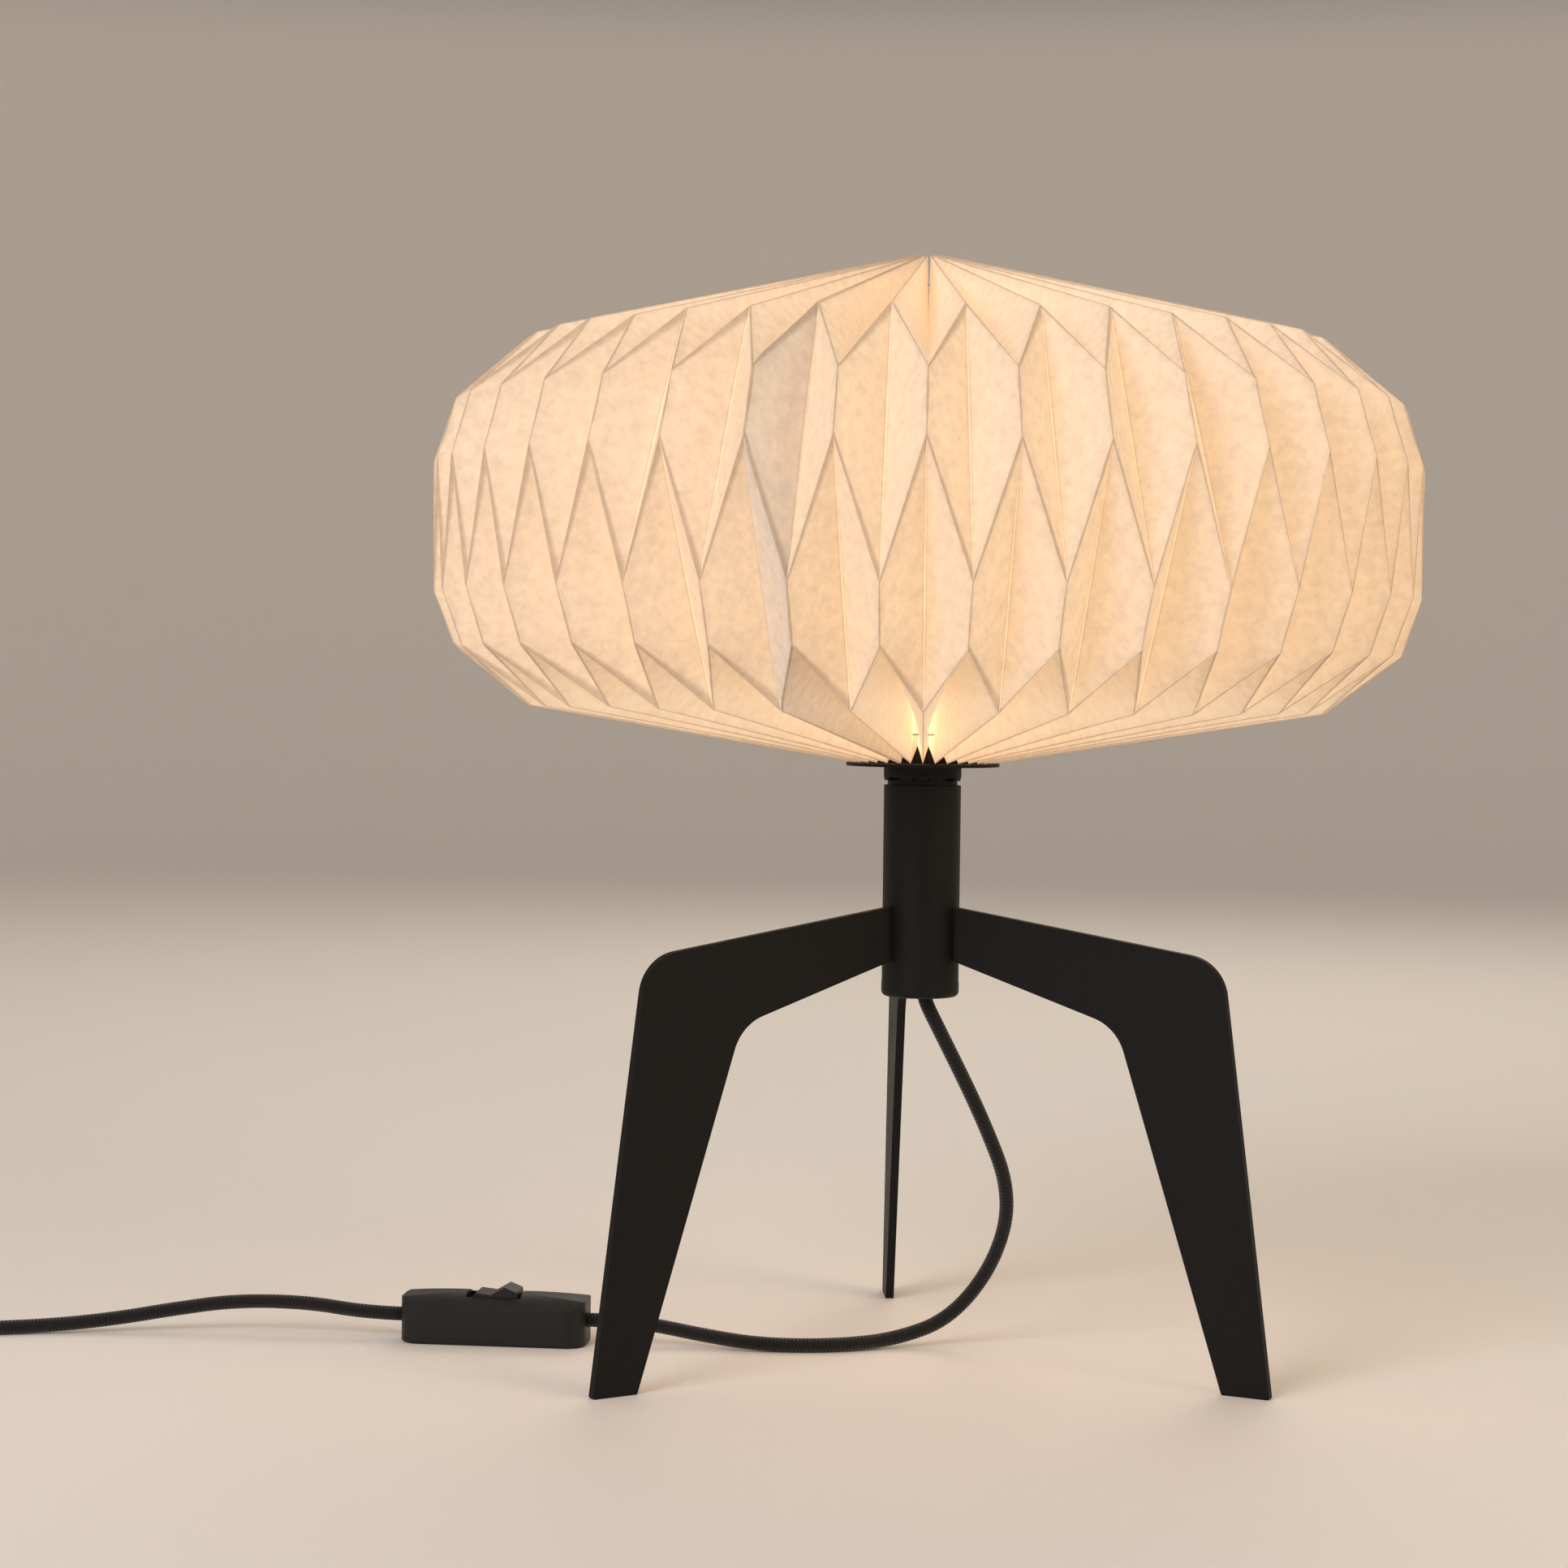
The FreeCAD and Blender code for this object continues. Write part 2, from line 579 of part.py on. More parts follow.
def panel_normal(own, other, s):
    """Outward normal of the panel right of a fold line, in that line's (radial, sideways, up) frame."""
    cos, sin = math.cos(FOLD_STEP), math.sin(FOLD_STEP)
    here = [V(own[k][0], 0, own[k][1]) for k in (s, s + 1)]
    there = [V(other[k][0] * cos, other[k][0] * sin, other[k][1]) for k in (s, s + 1)]
    down = here[1] - here[0] + there[1] - there[0]
    across = there[0] - here[0] + there[1] - here[1]
    return unit(down.cross(across))


def corner_faces(own, other, s, side, is_ridge):
    """Left, middle and right corner of the paper's skin (side +1 outer, -1 inner) in the line's frame."""
    normals = [panel_normal(own, other, k) for k in (s - 1, s) if 0 <= k < LAST]
    half = side * PAPER_THICKNESS / 2
    middle = V(own[s][0], 0, own[s][1])
    if s in SHOULDERS:
        a, b = normals
        det = a.x * b.z - a.z * b.x
        point = middle + V((b.z - a.z) / det, 0, (a.x - b.x) / det) * half
        return point, point, point
    mean = unit(sum(normals, V()))
    if is_ridge == (side > 0):
        right = middle + mean * half
        return V(right.x, -right.y, right.z), V(right.x, 0, right.z), right
    step = (s, s + 1) if s < LAST else (s - 1, s)
    run = unit(V(own[step[1]][0] - own[step[0]][0], 0, own[step[1]][1] - own[step[0]][1]))
    bisector = V(-run.z, 0, run.x)
    point = middle + bisector * (half / mean.dot(bisector))
    return point, point, point


def skin(side):
    """Corners of one skin for both kinds of fold line: skin[kind][place] = (left, middle, right)."""
    result = []
    for own, other, ridge_above in ((LINE_E, LINE_O, False), (LINE_O, LINE_E, True)):
        line = []
        for s in range(LAST + 1):
            is_ridge = ridge_above if s < SHOULDERS[0] else not ridge_above
            line.append(corner_faces(own, other, s, side, is_ridge))
        result.append(line)
    return result


def at_line(point, line):
    """From the frame of a fold line to the lamp's frame."""
    angle = math.radians(FRONT_FOLD) + line * FOLD_STEP
    out = V(math.sin(angle), -math.cos(angle), 0)
    sideways = V(math.cos(angle), math.sin(angle), 0)
    return out * point.x + sideways * point.y + UP * point.z


def paper_sheet(first, last):
    """One folded sheet between two fold lines, as a closed shell of flat facets."""
    skins = {side: skin(side) for side in (1, -1)}
    pairs = {}
    for side in (1, -1):
        for line in range(first, last + 1):
            for s in range(LAST + 1):
                left, middle, right = skins[side][line % 2][s]
                ends = (middle if line == first else left, middle if line == last else right)
                pairs[side, line, s] = [at_line(p, line) for p in ends]
    strips = []
    for line in range(first, last + 1):
        strips.append(((line, 0), (line, 1)))
        if line < last:
            strips.append(((line, 1), (line + 1, 0)))

    def at(side, key, s):
        return pairs[side, key[0], s][key[1]]

    quads = []
    for a, b in strips:
        for s in range(LAST):
            for side in (1, -1):
                facet = [at(side, a, s), at(side, a, s + 1), at(side, b, s + 1), at(side, b, s)]
                if a[0] % 2 == 0:
                    facet = facet[3:] + facet[:3]  # the split runs from the O line's upper corner
                quads.append(facet if side > 0 else [facet[k] for k in (0, 3, 2, 1)])
        quads.append((at(1, a, 0), at(1, b, 0), at(-1, b, 0), at(-1, a, 0)))
        quads.append((at(1, b, LAST), at(1, a, LAST), at(-1, a, LAST), at(-1, b, LAST)))
    for s in range(LAST):
        a, b = (first, 0), (last, 1)
        quads.append((at(1, a, s + 1), at(1, a, s), at(-1, a, s), at(-1, a, s + 1)))
        quads.append((at(1, b, s), at(1, b, s + 1), at(-1, b, s + 1), at(-1, b, s)))
    return solid_from_quads(quads)


def solid_from_quads(quads):
    """A solid from four-cornered facets, each split in two. Facets without area are left out."""
    index, facets = {}, []

    def number(point):
        key = (round(point.x, 5), round(point.y, 5), round(point.z, 5))
        return index.setdefault(key, len(index))

    for quad in quads:
        ids = [number(p) for p in quad]
        for triangle in ((ids[0], ids[1], ids[2]), (ids[0], ids[2], ids[3])):
            if len(set(triangle)) == 3:
                facets.append(triangle)
    shape = Part.Shape()
    shape.makeShapeFromMesh(([V(*key) for key in index], facets), 0.001)
    solid = Part.Solid(Part.Shell(shape.Faces))
    return solid if solid.Volume > 0 else solid.reversed()


def tie_ring(radius, height):
    return Part.makeTorus(radius, TIE_WIRE / 2, UP * height)


def tie_holes(radius, height):
    """Ring of a six-sided section: cut from the paper it punches one hole in each pleat face."""
    reach = TIE_WIRE / 2 + TIE_HOLE_CLEARANCE
    return turned([(radius + x, height + z) for x, z in six_corners(reach)])


def shade():
    half = FOLD_LINES // 2
    bottom = (BOTTOM_TIE_R, along(corner_e7, CORNER_E6, BOTTOM_TIE_R) + BOTTOM_TIE_OVER_FOLD)
    top = (TOP_TIE_R, along(CORNER_E0, CORNER_E2, TOP_TIE_R) + TOP_TIE_OVER_FOLD)
    punch = [tie_holes(*bottom), tie_holes(*top)]
    for name, first in (("paper_sheet_right", SEAM_LINE), ("paper_sheet_left", SEAM_LINE + half)):
        parts[name] = paper_sheet(first, first + half).cut(punch)
    parts["bottom_tie_ring"] = tie_ring(*bottom)
    parts["top_tie_ring"] = tie_ring(*top)


shade()

# ---------------------------------------------------------------- in-line switch
def place_switch(shape):
    copy = shape.copy()
    copy.rotate(V(), UP, SWITCH_TURN)
    copy.translate(V(SWITCH_CENTRE[0], SWITCH_CENTRE[1], 0))
    return copy


def arched_face(start, end, edge_height):
    """Upright face between two points on the floor, with a top that arches to the switch's height."""
    high_start, high_end = start + UP * edge_height, end + UP * edge_height
    top = Part.Arc(high_start, (start + end) * 0.5 + UP * SWITCH_HEIGHT, high_end).toShape()
    rest = Part.makePolygon([high_end, end, start, high_start])
    return Part.Face(Part.Wire([top] + rest.Edges))


def switch_body():
    """Outer form: the plan, the humped side outline and the crowned section, common to all three."""
    half_l, half_w = SWITCH_LENGTH / 2, SWITCH_WIDTH / 2
    plan = block((SWITCH_LENGTH, SWITCH_WIDTH, SWITCH_HEIGHT + OVERCUT), (0, 0), 0)
    plan = plan.makeFillet(SWITCH_CORNER, edges_where(plan, lambda e: abs(e.tangentAt(0).z) > 0.9))
    hump = arched_face(V(half_l, -half_w, 0), V(-half_l, -half_w, 0), SWITCH_END_HEIGHT)
    crown = arched_face(V(-half_l, half_w, 0), V(-half_l, -half_w, 0), SWITCH_EDGE_HEIGHT)
    side = hump.extrude(V(0, SWITCH_WIDTH, 0))
    section = crown.extrude(V(SWITCH_LENGTH, 0, 0))
    body = plan.common(side).common(section)
    return body.makeFillet(SWITCH_EDGE_ROUND, edges_where(body, lambda e: e.BoundBox.ZMax < NEAR))


def rocker_profile():
    """Rocker as seen from the front, about its pivot, untilted."""
    peak_x, peak_z = ROCKER_PEAK
    foot_x, foot_z = ROCKER_FOOT
    end = ROCKER_LENGTH / 2
    right = [(peak_x, peak_z), (end, ROCKER_END_TOP), (end, ROCKER_END_LOW), (foot_x, foot_z)]
    return [(0, ROCKER_DIP)] + right + [(-x, z) for x, z in reversed(right)]


def rocker():
    """Rocker on its pin, pressed down at the end away from the lamp."""
    half_w = ROCKER_WIDTH / 2
    body = outline([(x, -half_w, z) for x, z in rocker_profile()]).extrude(V(0, ROCKER_WIDTH, 0))
    body = body.cut(lying(PIVOT_R + PIVOT_CLEARANCE, -half_w - OVERCUT, ROCKER_WIDTH + 2 * OVERCUT))
    body.rotate(V(), V(0, 1, 0), -ROCKER_TILT)
    body.translate(UP * ROCKER_PIVOT_Z)
    return body


cheek_at = ROCKER_WIDTH / 2 + CHEEK_GAP
cheek_top = ROCKER_PIVOT_Z + PIVOT_R + CHEEK_CREST


def pivot_pin():
    half = cheek_at + CHEEK_THICKNESS
    return lying(PIVOT_R, -half, 2 * half, z=ROCKER_PIVOT_Z)


def cable(radius, start_x, end_x, y=0.0):
    """A straight length of cord or core along the switch."""
    along_x = V(math.copysign(1, end_x - start_x), 0, 0)
    return Part.makeCylinder(radius, abs(end_x - start_x), V(start_x, y, SWITCH_CORD_Z), along_x)


def switch_hollows():
    """Room inside the case: the cavity, the rocker's well and the cord ways."""
    cavity = block((CAVITY_LENGTH, CAVITY_WIDTH, CAVITY_ROOF - CAVITY_FLOOR), (0, 0), CAVITY_FLOOR)
    well_width = 2 * (cheek_at + CHEEK_THICKNESS + CHEEK_GAP)
    well = block((ROCKER_WELL, well_width, cheek_top + CHEEK_GAP - CAVITY_ROOF), (0, 0), CAVITY_ROOF)
    window_length = ROCKER_LENGTH + 2 * (ROCKER_GAP + ROCKER_SWING)
    window = block((window_length, ROCKER_WIDTH + 2 * ROCKER_GAP, SWITCH_HEIGHT), (0, 0), CAVITY_ROOF)
    half_way = SWITCH_LENGTH / 2 + OVERCUT
    way = cable(CORD_D / 2 + CORD_CLEARANCE, -half_way, half_way)
    return cavity.fuse([well, window, way])


def switch_screws(clearance=0.0):
    """Case screws from below, at opposite corners."""
    screws = []
    for side in (-1, 1):
        centre = (side * CASE_SCREW_AT[0], side * CASE_SCREW_AT[1])
        head = disc(CASE_SCREW_HEAD_R + clearance, CAVITY_FLOOR - CASE_SCREW_HEAD, CAVITY_FLOOR, centre)
        shank = disc(CASE_SCREW_R + clearance, CAVITY_FLOOR, CAVITY_FLOOR + CASE_SCREW_LENGTH, centre)
        screws.append(head.fuse(shank))
    return screws


def switch_screw_holes():
    holes = switch_screws(THREAD_CLEARANCE)
    for side in (-1, 1):
        centre = (side * CASE_SCREW_AT[0], side * CASE_SCREW_AT[1])
        holes.append(disc(CASE_SCREW_HEAD_R + THREAD_CLEARANCE, -OVERCUT, CAVITY_FLOOR, centre))
    return holes


def switch_case():
    """Base and cover, split at the parting line. The base carries the rocker's cheeks."""
    hollow = switch_body().cut([switch_hollows()] + switch_screw_holes())
    above = block((2 * SWITCH_LENGTH, 2 * SWITCH_WIDTH, 2 * SWITCH_HEIGHT), (0, 0), SWITCH_PART_LINE)
    base, cover = hollow.cut(above), hollow.common(above)
    for side in (-1, 1):
        size = (CHEEK_LENGTH, CHEEK_THICKNESS, cheek_top - CAVITY_FLOOR + FUSE_LAP)
        centre = (0, side * (cheek_at + CHEEK_THICKNESS / 2))
        base = base.fuse(block(size, centre, CAVITY_FLOOR - FUSE_LAP))
    return base.cut(pivot_pin()).removeSplitter(), cover


def switch_inside(side):
    """What lies in one half of the case: contact, terminal screw, cord clamp and the cord's cut end."""
    length, width, height = TERMINAL_BLOCK
    centre = (side * TERMINAL_BLOCK_AT, 0)
    screw_foot = CAVITY_FLOOR + TERMINAL_SCREW_RISE
    screw = disc(TERMINAL_R, screw_foot, screw_foot + height, centre)
    hole = disc(TERMINAL_R + THREAD_CLEARANCE, screw_foot, SWITCH_HEIGHT, centre)
    strip_length = TERMINAL_BLOCK_AT - length / 2
    strip_centre = (side * (strip_length / 2 + FUSE_LAP), 0)
    strip = block((strip_length, width / 2, CONTACT_STRIP), strip_centre, CAVITY_FLOOR)
    contact = block(TERMINAL_BLOCK, centre, CAVITY_FLOOR).cut(hole).fuse(strip)
    clamp = block(CLAMP_BAR, (side * CLAMP_AT, 0), SWITCH_CORD_Z + CORD_D / 2 + CLAMP_BITE_GAP)
    sheath_end = side * (CLAMP_AT - CLAMP_BAR[0])
    core_end = side * (TERMINAL_BLOCK_AT + length / 2 - CORE_END_INSET)
    lead = cable(CORD_D / 2, side * SWITCH_LENGTH / 2, sheath_end)
    for y in (-CORE_SPREAD, CORE_SPREAD):
        lead = lead.fuse(cable(CORE_D / 2, sheath_end + side * FUSE_LAP, core_end, y))
    return contact, screw, clamp, lead


def switch():
    base, cover = switch_case()
    contacts, screws, clamps, leads = zip(switch_inside(-1), switch_inside(1))
    pieces = {
        "switch_base": base,
        "switch_cover": cover,
        "switch_rocker": rocker(),
        "switch_pivot_pin": pivot_pin(),
        "switch_terminals": Part.makeCompound(list(contacts)),
        "switch_terminal_screws": Part.makeCompound(list(screws)),
        "switch_cord_clamps": Part.makeCompound(list(clamps)),
        "switch_cord_ends": Part.makeCompound(list(leads)),
        "switch_case_screws": Part.makeCompound(switch_screws()),
    }
    for name, shape in pieces.items():
        parts[name] = place_switch(shape)


switch()

# ---------------------------------------------------------------- cord and coil
cord_r = CORD_D / 2
floor_z = cord_r + FLOOR_LIFT


def cord_profile(start, direction):
    return Part.Wire(Part.Circle(start, direction, cord_r).toShape())


def sweep(edges, start, direction):
    wire = Part.Wire(edges)
    maker = Part.BRepOffsetAPI.MakePipeShell(wire)
    maker.add(cord_profile(start, direction))
    maker.build()
    maker.makeSolid()
    return maker.shape(), wire.Length


def cord_tube(name, route):
    """Straight runs joined by tangent arcs, each as large as its two runs allow."""
    points = [V(*p) for p in route]
    edges, here, radii = [], points[0], []
    for before, corner, after in zip(points, points[1:], points[2:]):
        back, ahead = unit(before - corner), unit(after - corner)
        half_turn = (math.pi - back.getAngle(ahead)) / 2
        reach = 0.45 * min((before - corner).Length, (after - corner).Length)
        radius = reach / math.tan(half_turn)
        radii.append(radius)
        start, end = corner + back * reach, corner + ahead * reach
        middle = corner + unit(back + ahead) * (radius / math.cos(half_turn) - radius)
        edges.append(Part.LineSegment(here, start).toShape())
        edges.append(Part.Arc(start, middle, end).toShape())
        here = end
    edges.append(Part.LineSegment(here, points[-1]).toShape())
    solid, length = sweep(edges, points[0], points[1] - points[0])
    volume = math.pi * cord_r**2 * length
    print(f"{name}: length {length:.0f} mm, least radius {min(radii):.1f} mm,"
          f" volume {solid.Volume / volume:.4f} of section times length")
    print("  radii", " ".join(f"{r:.0f}" for r in radii))
    return solid


def biarc(p1, t1, p2, t2):
    """Two arcs from p1 along t1 to p2 along t2."""
    v, t = p2 - p1, t1 + t2
    scale = 2 * (1 - t1.dot(t2))
    d = (-v.dot(t) + math.sqrt(v.dot(t) ** 2 + scale * v.dot(v))) / scale
    joint = (p1 + p2 + (t1 - t2) * d) * 0.5
    edges = []
    for start, tangent, end in ((p1, t1, joint), (joint, None, p2)):
        if tangent is None:
            back = start - end
            tangent_end = t2
            centre_dir = back - tangent_end * back.dot(tangent_end)
            radius = back.dot(back) / (2 * centre_dir.Length)
            centre = end + unit(centre_dir) * radius
        else:
            out = end - start
            centre_dir = out - tangent * out.dot(tangent)
            radius = out.dot(out) / (2 * centre_dir.Length)
            centre = start + unit(centre_dir) * radius
        middle = centre + unit((start + end) * 0.5 - centre) * radius
        edges.append(Part.Arc(start, middle, end).toShape())
    return edges


def coil_point(u):
    """Centre line after u turns: in on the lower layer, a climb of half a turn, out on the upper one."""
    middle = COIL_TURNS / 2
    radius = COIL_OUTER_R - COIL_PITCH * (middle - abs(u - middle))
    climb = min(max((u - middle) / COIL_CLIMB + 0.5, 0.0), 1.0)
    height = floor_z + COIL_LAYER * climb * climb * (3 - 2 * climb)
    angle = -math.pi / 2 - TAU * u
    x, y = COIL_CENTRE
    return V(x + radius * math.cos(angle), y + radius * math.sin(angle), height)


def coil_tangent(u):
    low, high = max(u - 0.01, 0.0), min(u + 0.01, COIL_TURNS)
    return unit(coil_point(high) - coil_point(low))


coil_start_dir, coil_end_dir = V(*COIL_START_DIR), V(*COIL_END_DIR)


def coil():
    count = COIL_TURNS * COIL_STEPS
    at = [COIL_TURNS * k / count for k in range(count + 1)]
    points = [coil_point(u) for u in at]
    tangents = [coil_start_dir] + [coil_tangent(u) for u in at[1:-1]] + [coil_end_dir]
    entry, exit_point = points[0] - coil_start_dir * CORD_D, points[-1] + coil_end_dir * CORD_D
    edges = [Part.LineSegment(entry, points[0]).toShape()]
    for k in range(count):
        edges += biarc(points[k], tangents[k], points[k + 1], tangents[k + 1])
    edges.append(Part.LineSegment(points[-1], exit_point).toShape())
    solid, length = sweep(edges, entry, coil_start_dir)
    samples = [coil_point(k / 100) for k in range(100 * COIL_TURNS + 1)]
    gap = min((a - b).Length for i, a in enumerate(samples) for b in samples[i + 50:]) - CORD_D
    volume = math.pi * cord_r**2 * length
    print(f"mains_coil: length {length:.0f} mm, least gap {gap:.2f} mm,"
          f" volume {solid.Volume / volume:.4f} of section times length")
    return solid, entry, exit_point


def beside_switch(side, distance=0.0):
    """Point on the cord's line, away from the right (+1) or left (-1) end of the switch."""
    angle = math.radians(SWITCH_TURN)
    reach = side * (SWITCH_LENGTH / 2 + distance)
    x, y = SWITCH_CENTRE
    return (x + reach * math.cos(angle), y + reach * math.sin(angle), SWITCH_CORD_Z)


def behind_plug(distance):
    """Point on the plug's axis, behind its pin face."""
    angle = math.radians(PLUG_TURN)
    x, y = PLUG_AT
    return (x + distance * math.sin(angle), y - distance * math.cos(angle), PLUG_FACE[1] / 2)


bush_face = rod_foot - BUSH_THICKNESS
plug_tail_reach = PLUG_LENGTH + RELIEF_LENGTH
parts["mains_coil"], coil_entry, coil_exit = coil()

# Routes, from the bush to the switch, from the switch to the coil and from the coil to the plug.
LAMP_CORD = [
    (0.0, 0.0, bush_face),
    (0.0, 0.0, 168.6),
    (10.6, 1.6, 148.0),
    (29.5, 6.0, 110.5),
    (44.0, 14.0, 74.0),
    (38.0, 26.0, 41.0),
    (18.0, 31.5, 13.0),
    (-8.0, 26.0, floor_z + 0.6),
    (-36.0, 12.5, floor_z),
    (-70.0, 12.0, floor_z),
    (-97.0, 21.5, floor_z + 2.2),
    (-121.0, 25.2, 9.6),
    beside_switch(1, 14.0),
    beside_switch(1),
]
MAINS_CORD = [
    beside_switch(-1),
    beside_switch(-1, 18.0),
    (-284.0, 43.2, 14.8),
    (-318.0, 46.5, 14.6),
    (-347.0, 45.0, 10.6),
    (-373.0, 42.0, 6.4),
    (-402.0, 37.4, floor_z + 0.4),
    (-434.0, 30.0, floor_z),
    (-462.0, 21.5, floor_z),
    (-486.0, coil_entry.y, floor_z),
    tuple(coil_entry),
]
PLUG_LEAD = [
    tuple(coil_exit),
    tuple(coil_exit + coil_end_dir * 14.0),
    (-554.0, 21.0, 8.4),
    behind_plug(plug_tail_reach + 24.0),
    behind_plug(plug_tail_reach),
]
parts["lamp_cord"] = cord_tube("lamp_cord", LAMP_CORD)
parts["mains_cord"] = cord_tube("mains_cord", MAINS_CORD)
parts["plug_lead"] = cord_tube("plug_lead", PLUG_LEAD)


# ---------------------------------------------------------------- cord bush and inner lead
def cord_bush():
    """Plastic ring under the rod's lower end, which keeps its thread off the cord."""
    return tube(BUSH_OD / 2, cord_r + CORD_CLEARANCE, bush_face, rod_foot)


def inner_lead():
    """Cord through the hollow rod, with its two cores at the lampholder."""
    sheath_top = ROD_TOP - SHEATH_END_GAP
    lead = disc(cord_r, bush_face, sheath_top)
    for x in (-CORE_SPREAD, CORE_SPREAD):
        lead = lead.fuse(disc(CORE_D / 2, sheath_top - FUSE_LAP, INSERT_AT + CORE_D, (x, 0)))
    return lead


parts["cord_bush"] = cord_bush()
parts["inner_lead"] = inner_lead()


# ---------------------------------------------------------------- plug
def plug_body():
    """Two-pin plug, built with its pins along +Y: a waisted loft from the face to the tail."""
    sections = []
    for (width, height), y in ((PLUG_FACE, 0.0), (PLUG_FACE, -PLUG_FACE_DEPTH), (PLUG_TAIL, -PLUG_LENGTH)):
        w, h = width / 2, height / 2
        bevel = height * PLUG_BEVEL
        top = [(w, h - bevel), (w - bevel, h), (-w + bevel, h), (-w, h - bevel)]
        ring = top + [(-x, -z) for x, z in top]
        sections.append(Part.makePolygon([V(x, y, z) for x, z in ring + ring[:1]]))
    return Part.makeLoft(sections, True, True)


def plug_pins():
    pins = []
    for side in (-1, 1):
        pin = lying(PLUG_PIN_D / 2, 0, PLUG_PIN_LENGTH, side * PLUG_PIN_SPACING / 2)
        tip = edges_where(pin, lambda e: e.BoundBox.YMin > PLUG_PIN_LENGTH - NEAR)
        pins.append(pin.makeFillet(PLUG_PIN_D / 2 - PLUG_PIN_TIP, tip))
    return Part.makeCompound(pins)


def plug_relief():
    """Grooved sleeve where the cord enters the plug."""
    relief_end = -PLUG_LENGTH - RELIEF_LENGTH
    sleeve = lying(RELIEF_R, relief_end, RELIEF_LENGTH)
    pitch = RELIEF_LENGTH / RELIEF_GROOVES
    for k in range(RELIEF_GROOVES):
        start = relief_end + (k + 0.5) * pitch
        core = lying(RELIEF_R - RELIEF_GROOVE_DEPTH, start - OVERCUT, pitch / 3 + 2 * OVERCUT)
        sleeve = sleeve.cut(lying(RELIEF_R + OVERCUT, start, pitch / 3).cut(core))
    return sleeve


plug = {"plug_body": plug_body(), "plug_pins": plug_pins(), "plug_strain_relief": plug_relief()}
for name, shape in plug.items():
    shape.rotate(V(), UP, PLUG_TURN)
    shape.translate(V(PLUG_AT[0], PLUG_AT[1], PLUG_FACE[1] / 2))
    parts[name] = shape

# ---------------------------------------------------------------- checks of the build, then the files
for name, shape in sorted(parts.items()):
    if not shape.isValid():
        print("INVALID", name)
    shape.exportStep(f"parts/{name}.step")
print(len(parts), "nodes")
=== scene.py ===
import math

import bmesh
import bpy
from mathutils import Matrix, Vector, noise


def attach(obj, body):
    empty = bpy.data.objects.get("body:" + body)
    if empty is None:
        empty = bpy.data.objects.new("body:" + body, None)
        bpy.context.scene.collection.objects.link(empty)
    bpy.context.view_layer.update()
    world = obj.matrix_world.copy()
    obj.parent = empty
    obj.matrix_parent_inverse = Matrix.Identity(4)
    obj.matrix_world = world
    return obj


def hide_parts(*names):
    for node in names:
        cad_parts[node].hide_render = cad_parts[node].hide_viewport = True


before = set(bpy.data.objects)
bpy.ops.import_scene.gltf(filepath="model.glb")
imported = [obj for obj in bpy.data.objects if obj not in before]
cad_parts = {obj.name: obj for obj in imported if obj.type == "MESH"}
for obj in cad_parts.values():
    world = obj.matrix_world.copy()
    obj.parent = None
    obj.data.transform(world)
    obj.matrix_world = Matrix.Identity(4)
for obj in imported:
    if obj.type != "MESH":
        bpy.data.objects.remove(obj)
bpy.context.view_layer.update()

bl_info = {
    "name": "Pleated Paper Table Lamp",
    "version": (1, 0, 0),
    "blender": (4, 5, 0),
    "location": "View3D > Sidebar > Paper Lamp",
    "description": "Folds the paper shade, lays the cords and finishes every piece of the table lamp",
    "category": "Object",
}

MM = 0.001
TAU = 2.0 * math.pi

# The folds, in millimetres: radius and height of the corners on the two kinds of fold line,
# from the top hub to the bottom hub. Even lines are E lines and odd lines are O lines.
PLEATS = 38
FRONT_FOLD = math.radians(-2.3)
SEAM_LINE = -4
E_CORNERS = ((7.0, 474.7), (213.8, 432.6), (222.4, 405.3), (179.8, 297.1), (34.0, 273.15), (33.5, 272.9))
O_CORNERS = ((8.5, 501.5), (180.7, 460.7), (221.9, 347.9), (213.2, 323.1), (30.0, 299.5), (29.2, 281.0))
VALLEY_ON_E = (True, False, True, False, False)  # which line dips in each band
BAND_ROWS = (18, 12, 12, 16, 2)  # the last is the turned-in end of each pleat at the hub
PANEL_COLUMNS = 6

# The cord's route, in millimetres, from the stem to the switch and from the switch to the plug.
CORD_RADIUS = 3.25
FLOOR_Z = CORD_RADIUS + 0.05
SWITCH_CENTRE = (-194.3, 31.0)
SWITCH_TURN = math.radians(-6.5)
SWITCH_CORD_Z = 11.3
SWITCH_HALF = 43.5
PLUG_AT = (-633.0, 70.0)
PLUG_TURN = math.radians(55.0)
PLUG_REACH = 40.0
PLUG_CORD_Z = 6.85
COIL_CENTRE = (-512.0, 62.0)
COIL_OUTER = 45.0
COIL_PITCH = 7.0
COIL_TURNS = 5
COIL_POINTS = 16  # control points in each turn


# ---------------------------------------------------------------- helpers
def linear(code):
    """An sRGB hex colour as linear red, green, blue and alpha."""
    channels = [int(code[k:k + 2], 16) / 255 for k in (1, 3, 5)]
    return (*[c / 12.92 if c <= 0.04045 else ((c + 0.055) / 1.055) ** 2.4 for c in channels], 1.0)


def add(tree, kind, inputs=None, **settings):
    """Add one node, with its settings, and set or link its inputs."""
    made = tree.nodes.new(kind)
    for key, value in settings.items():
        setattr(made, key, value)
    for socket, value in (inputs or {}).items():
        if isinstance(value, bpy.types.NodeSocket):
            tree.links.new(value, made.inputs[socket])
        else:
            made.inputs[socket].default_value = value
    return made


def new_material(name):
    """An empty node material and its tree."""
    material = bpy.data.materials.new(name)
    material.use_nodes = True
    material.node_tree.nodes.clear()
    return material, material.node_tree


def give(names, material):
    """Put one material on CAD nodes."""
    for name in names:
        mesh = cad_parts[name].data
        mesh.materials.clear()
        mesh.materials.append(material)


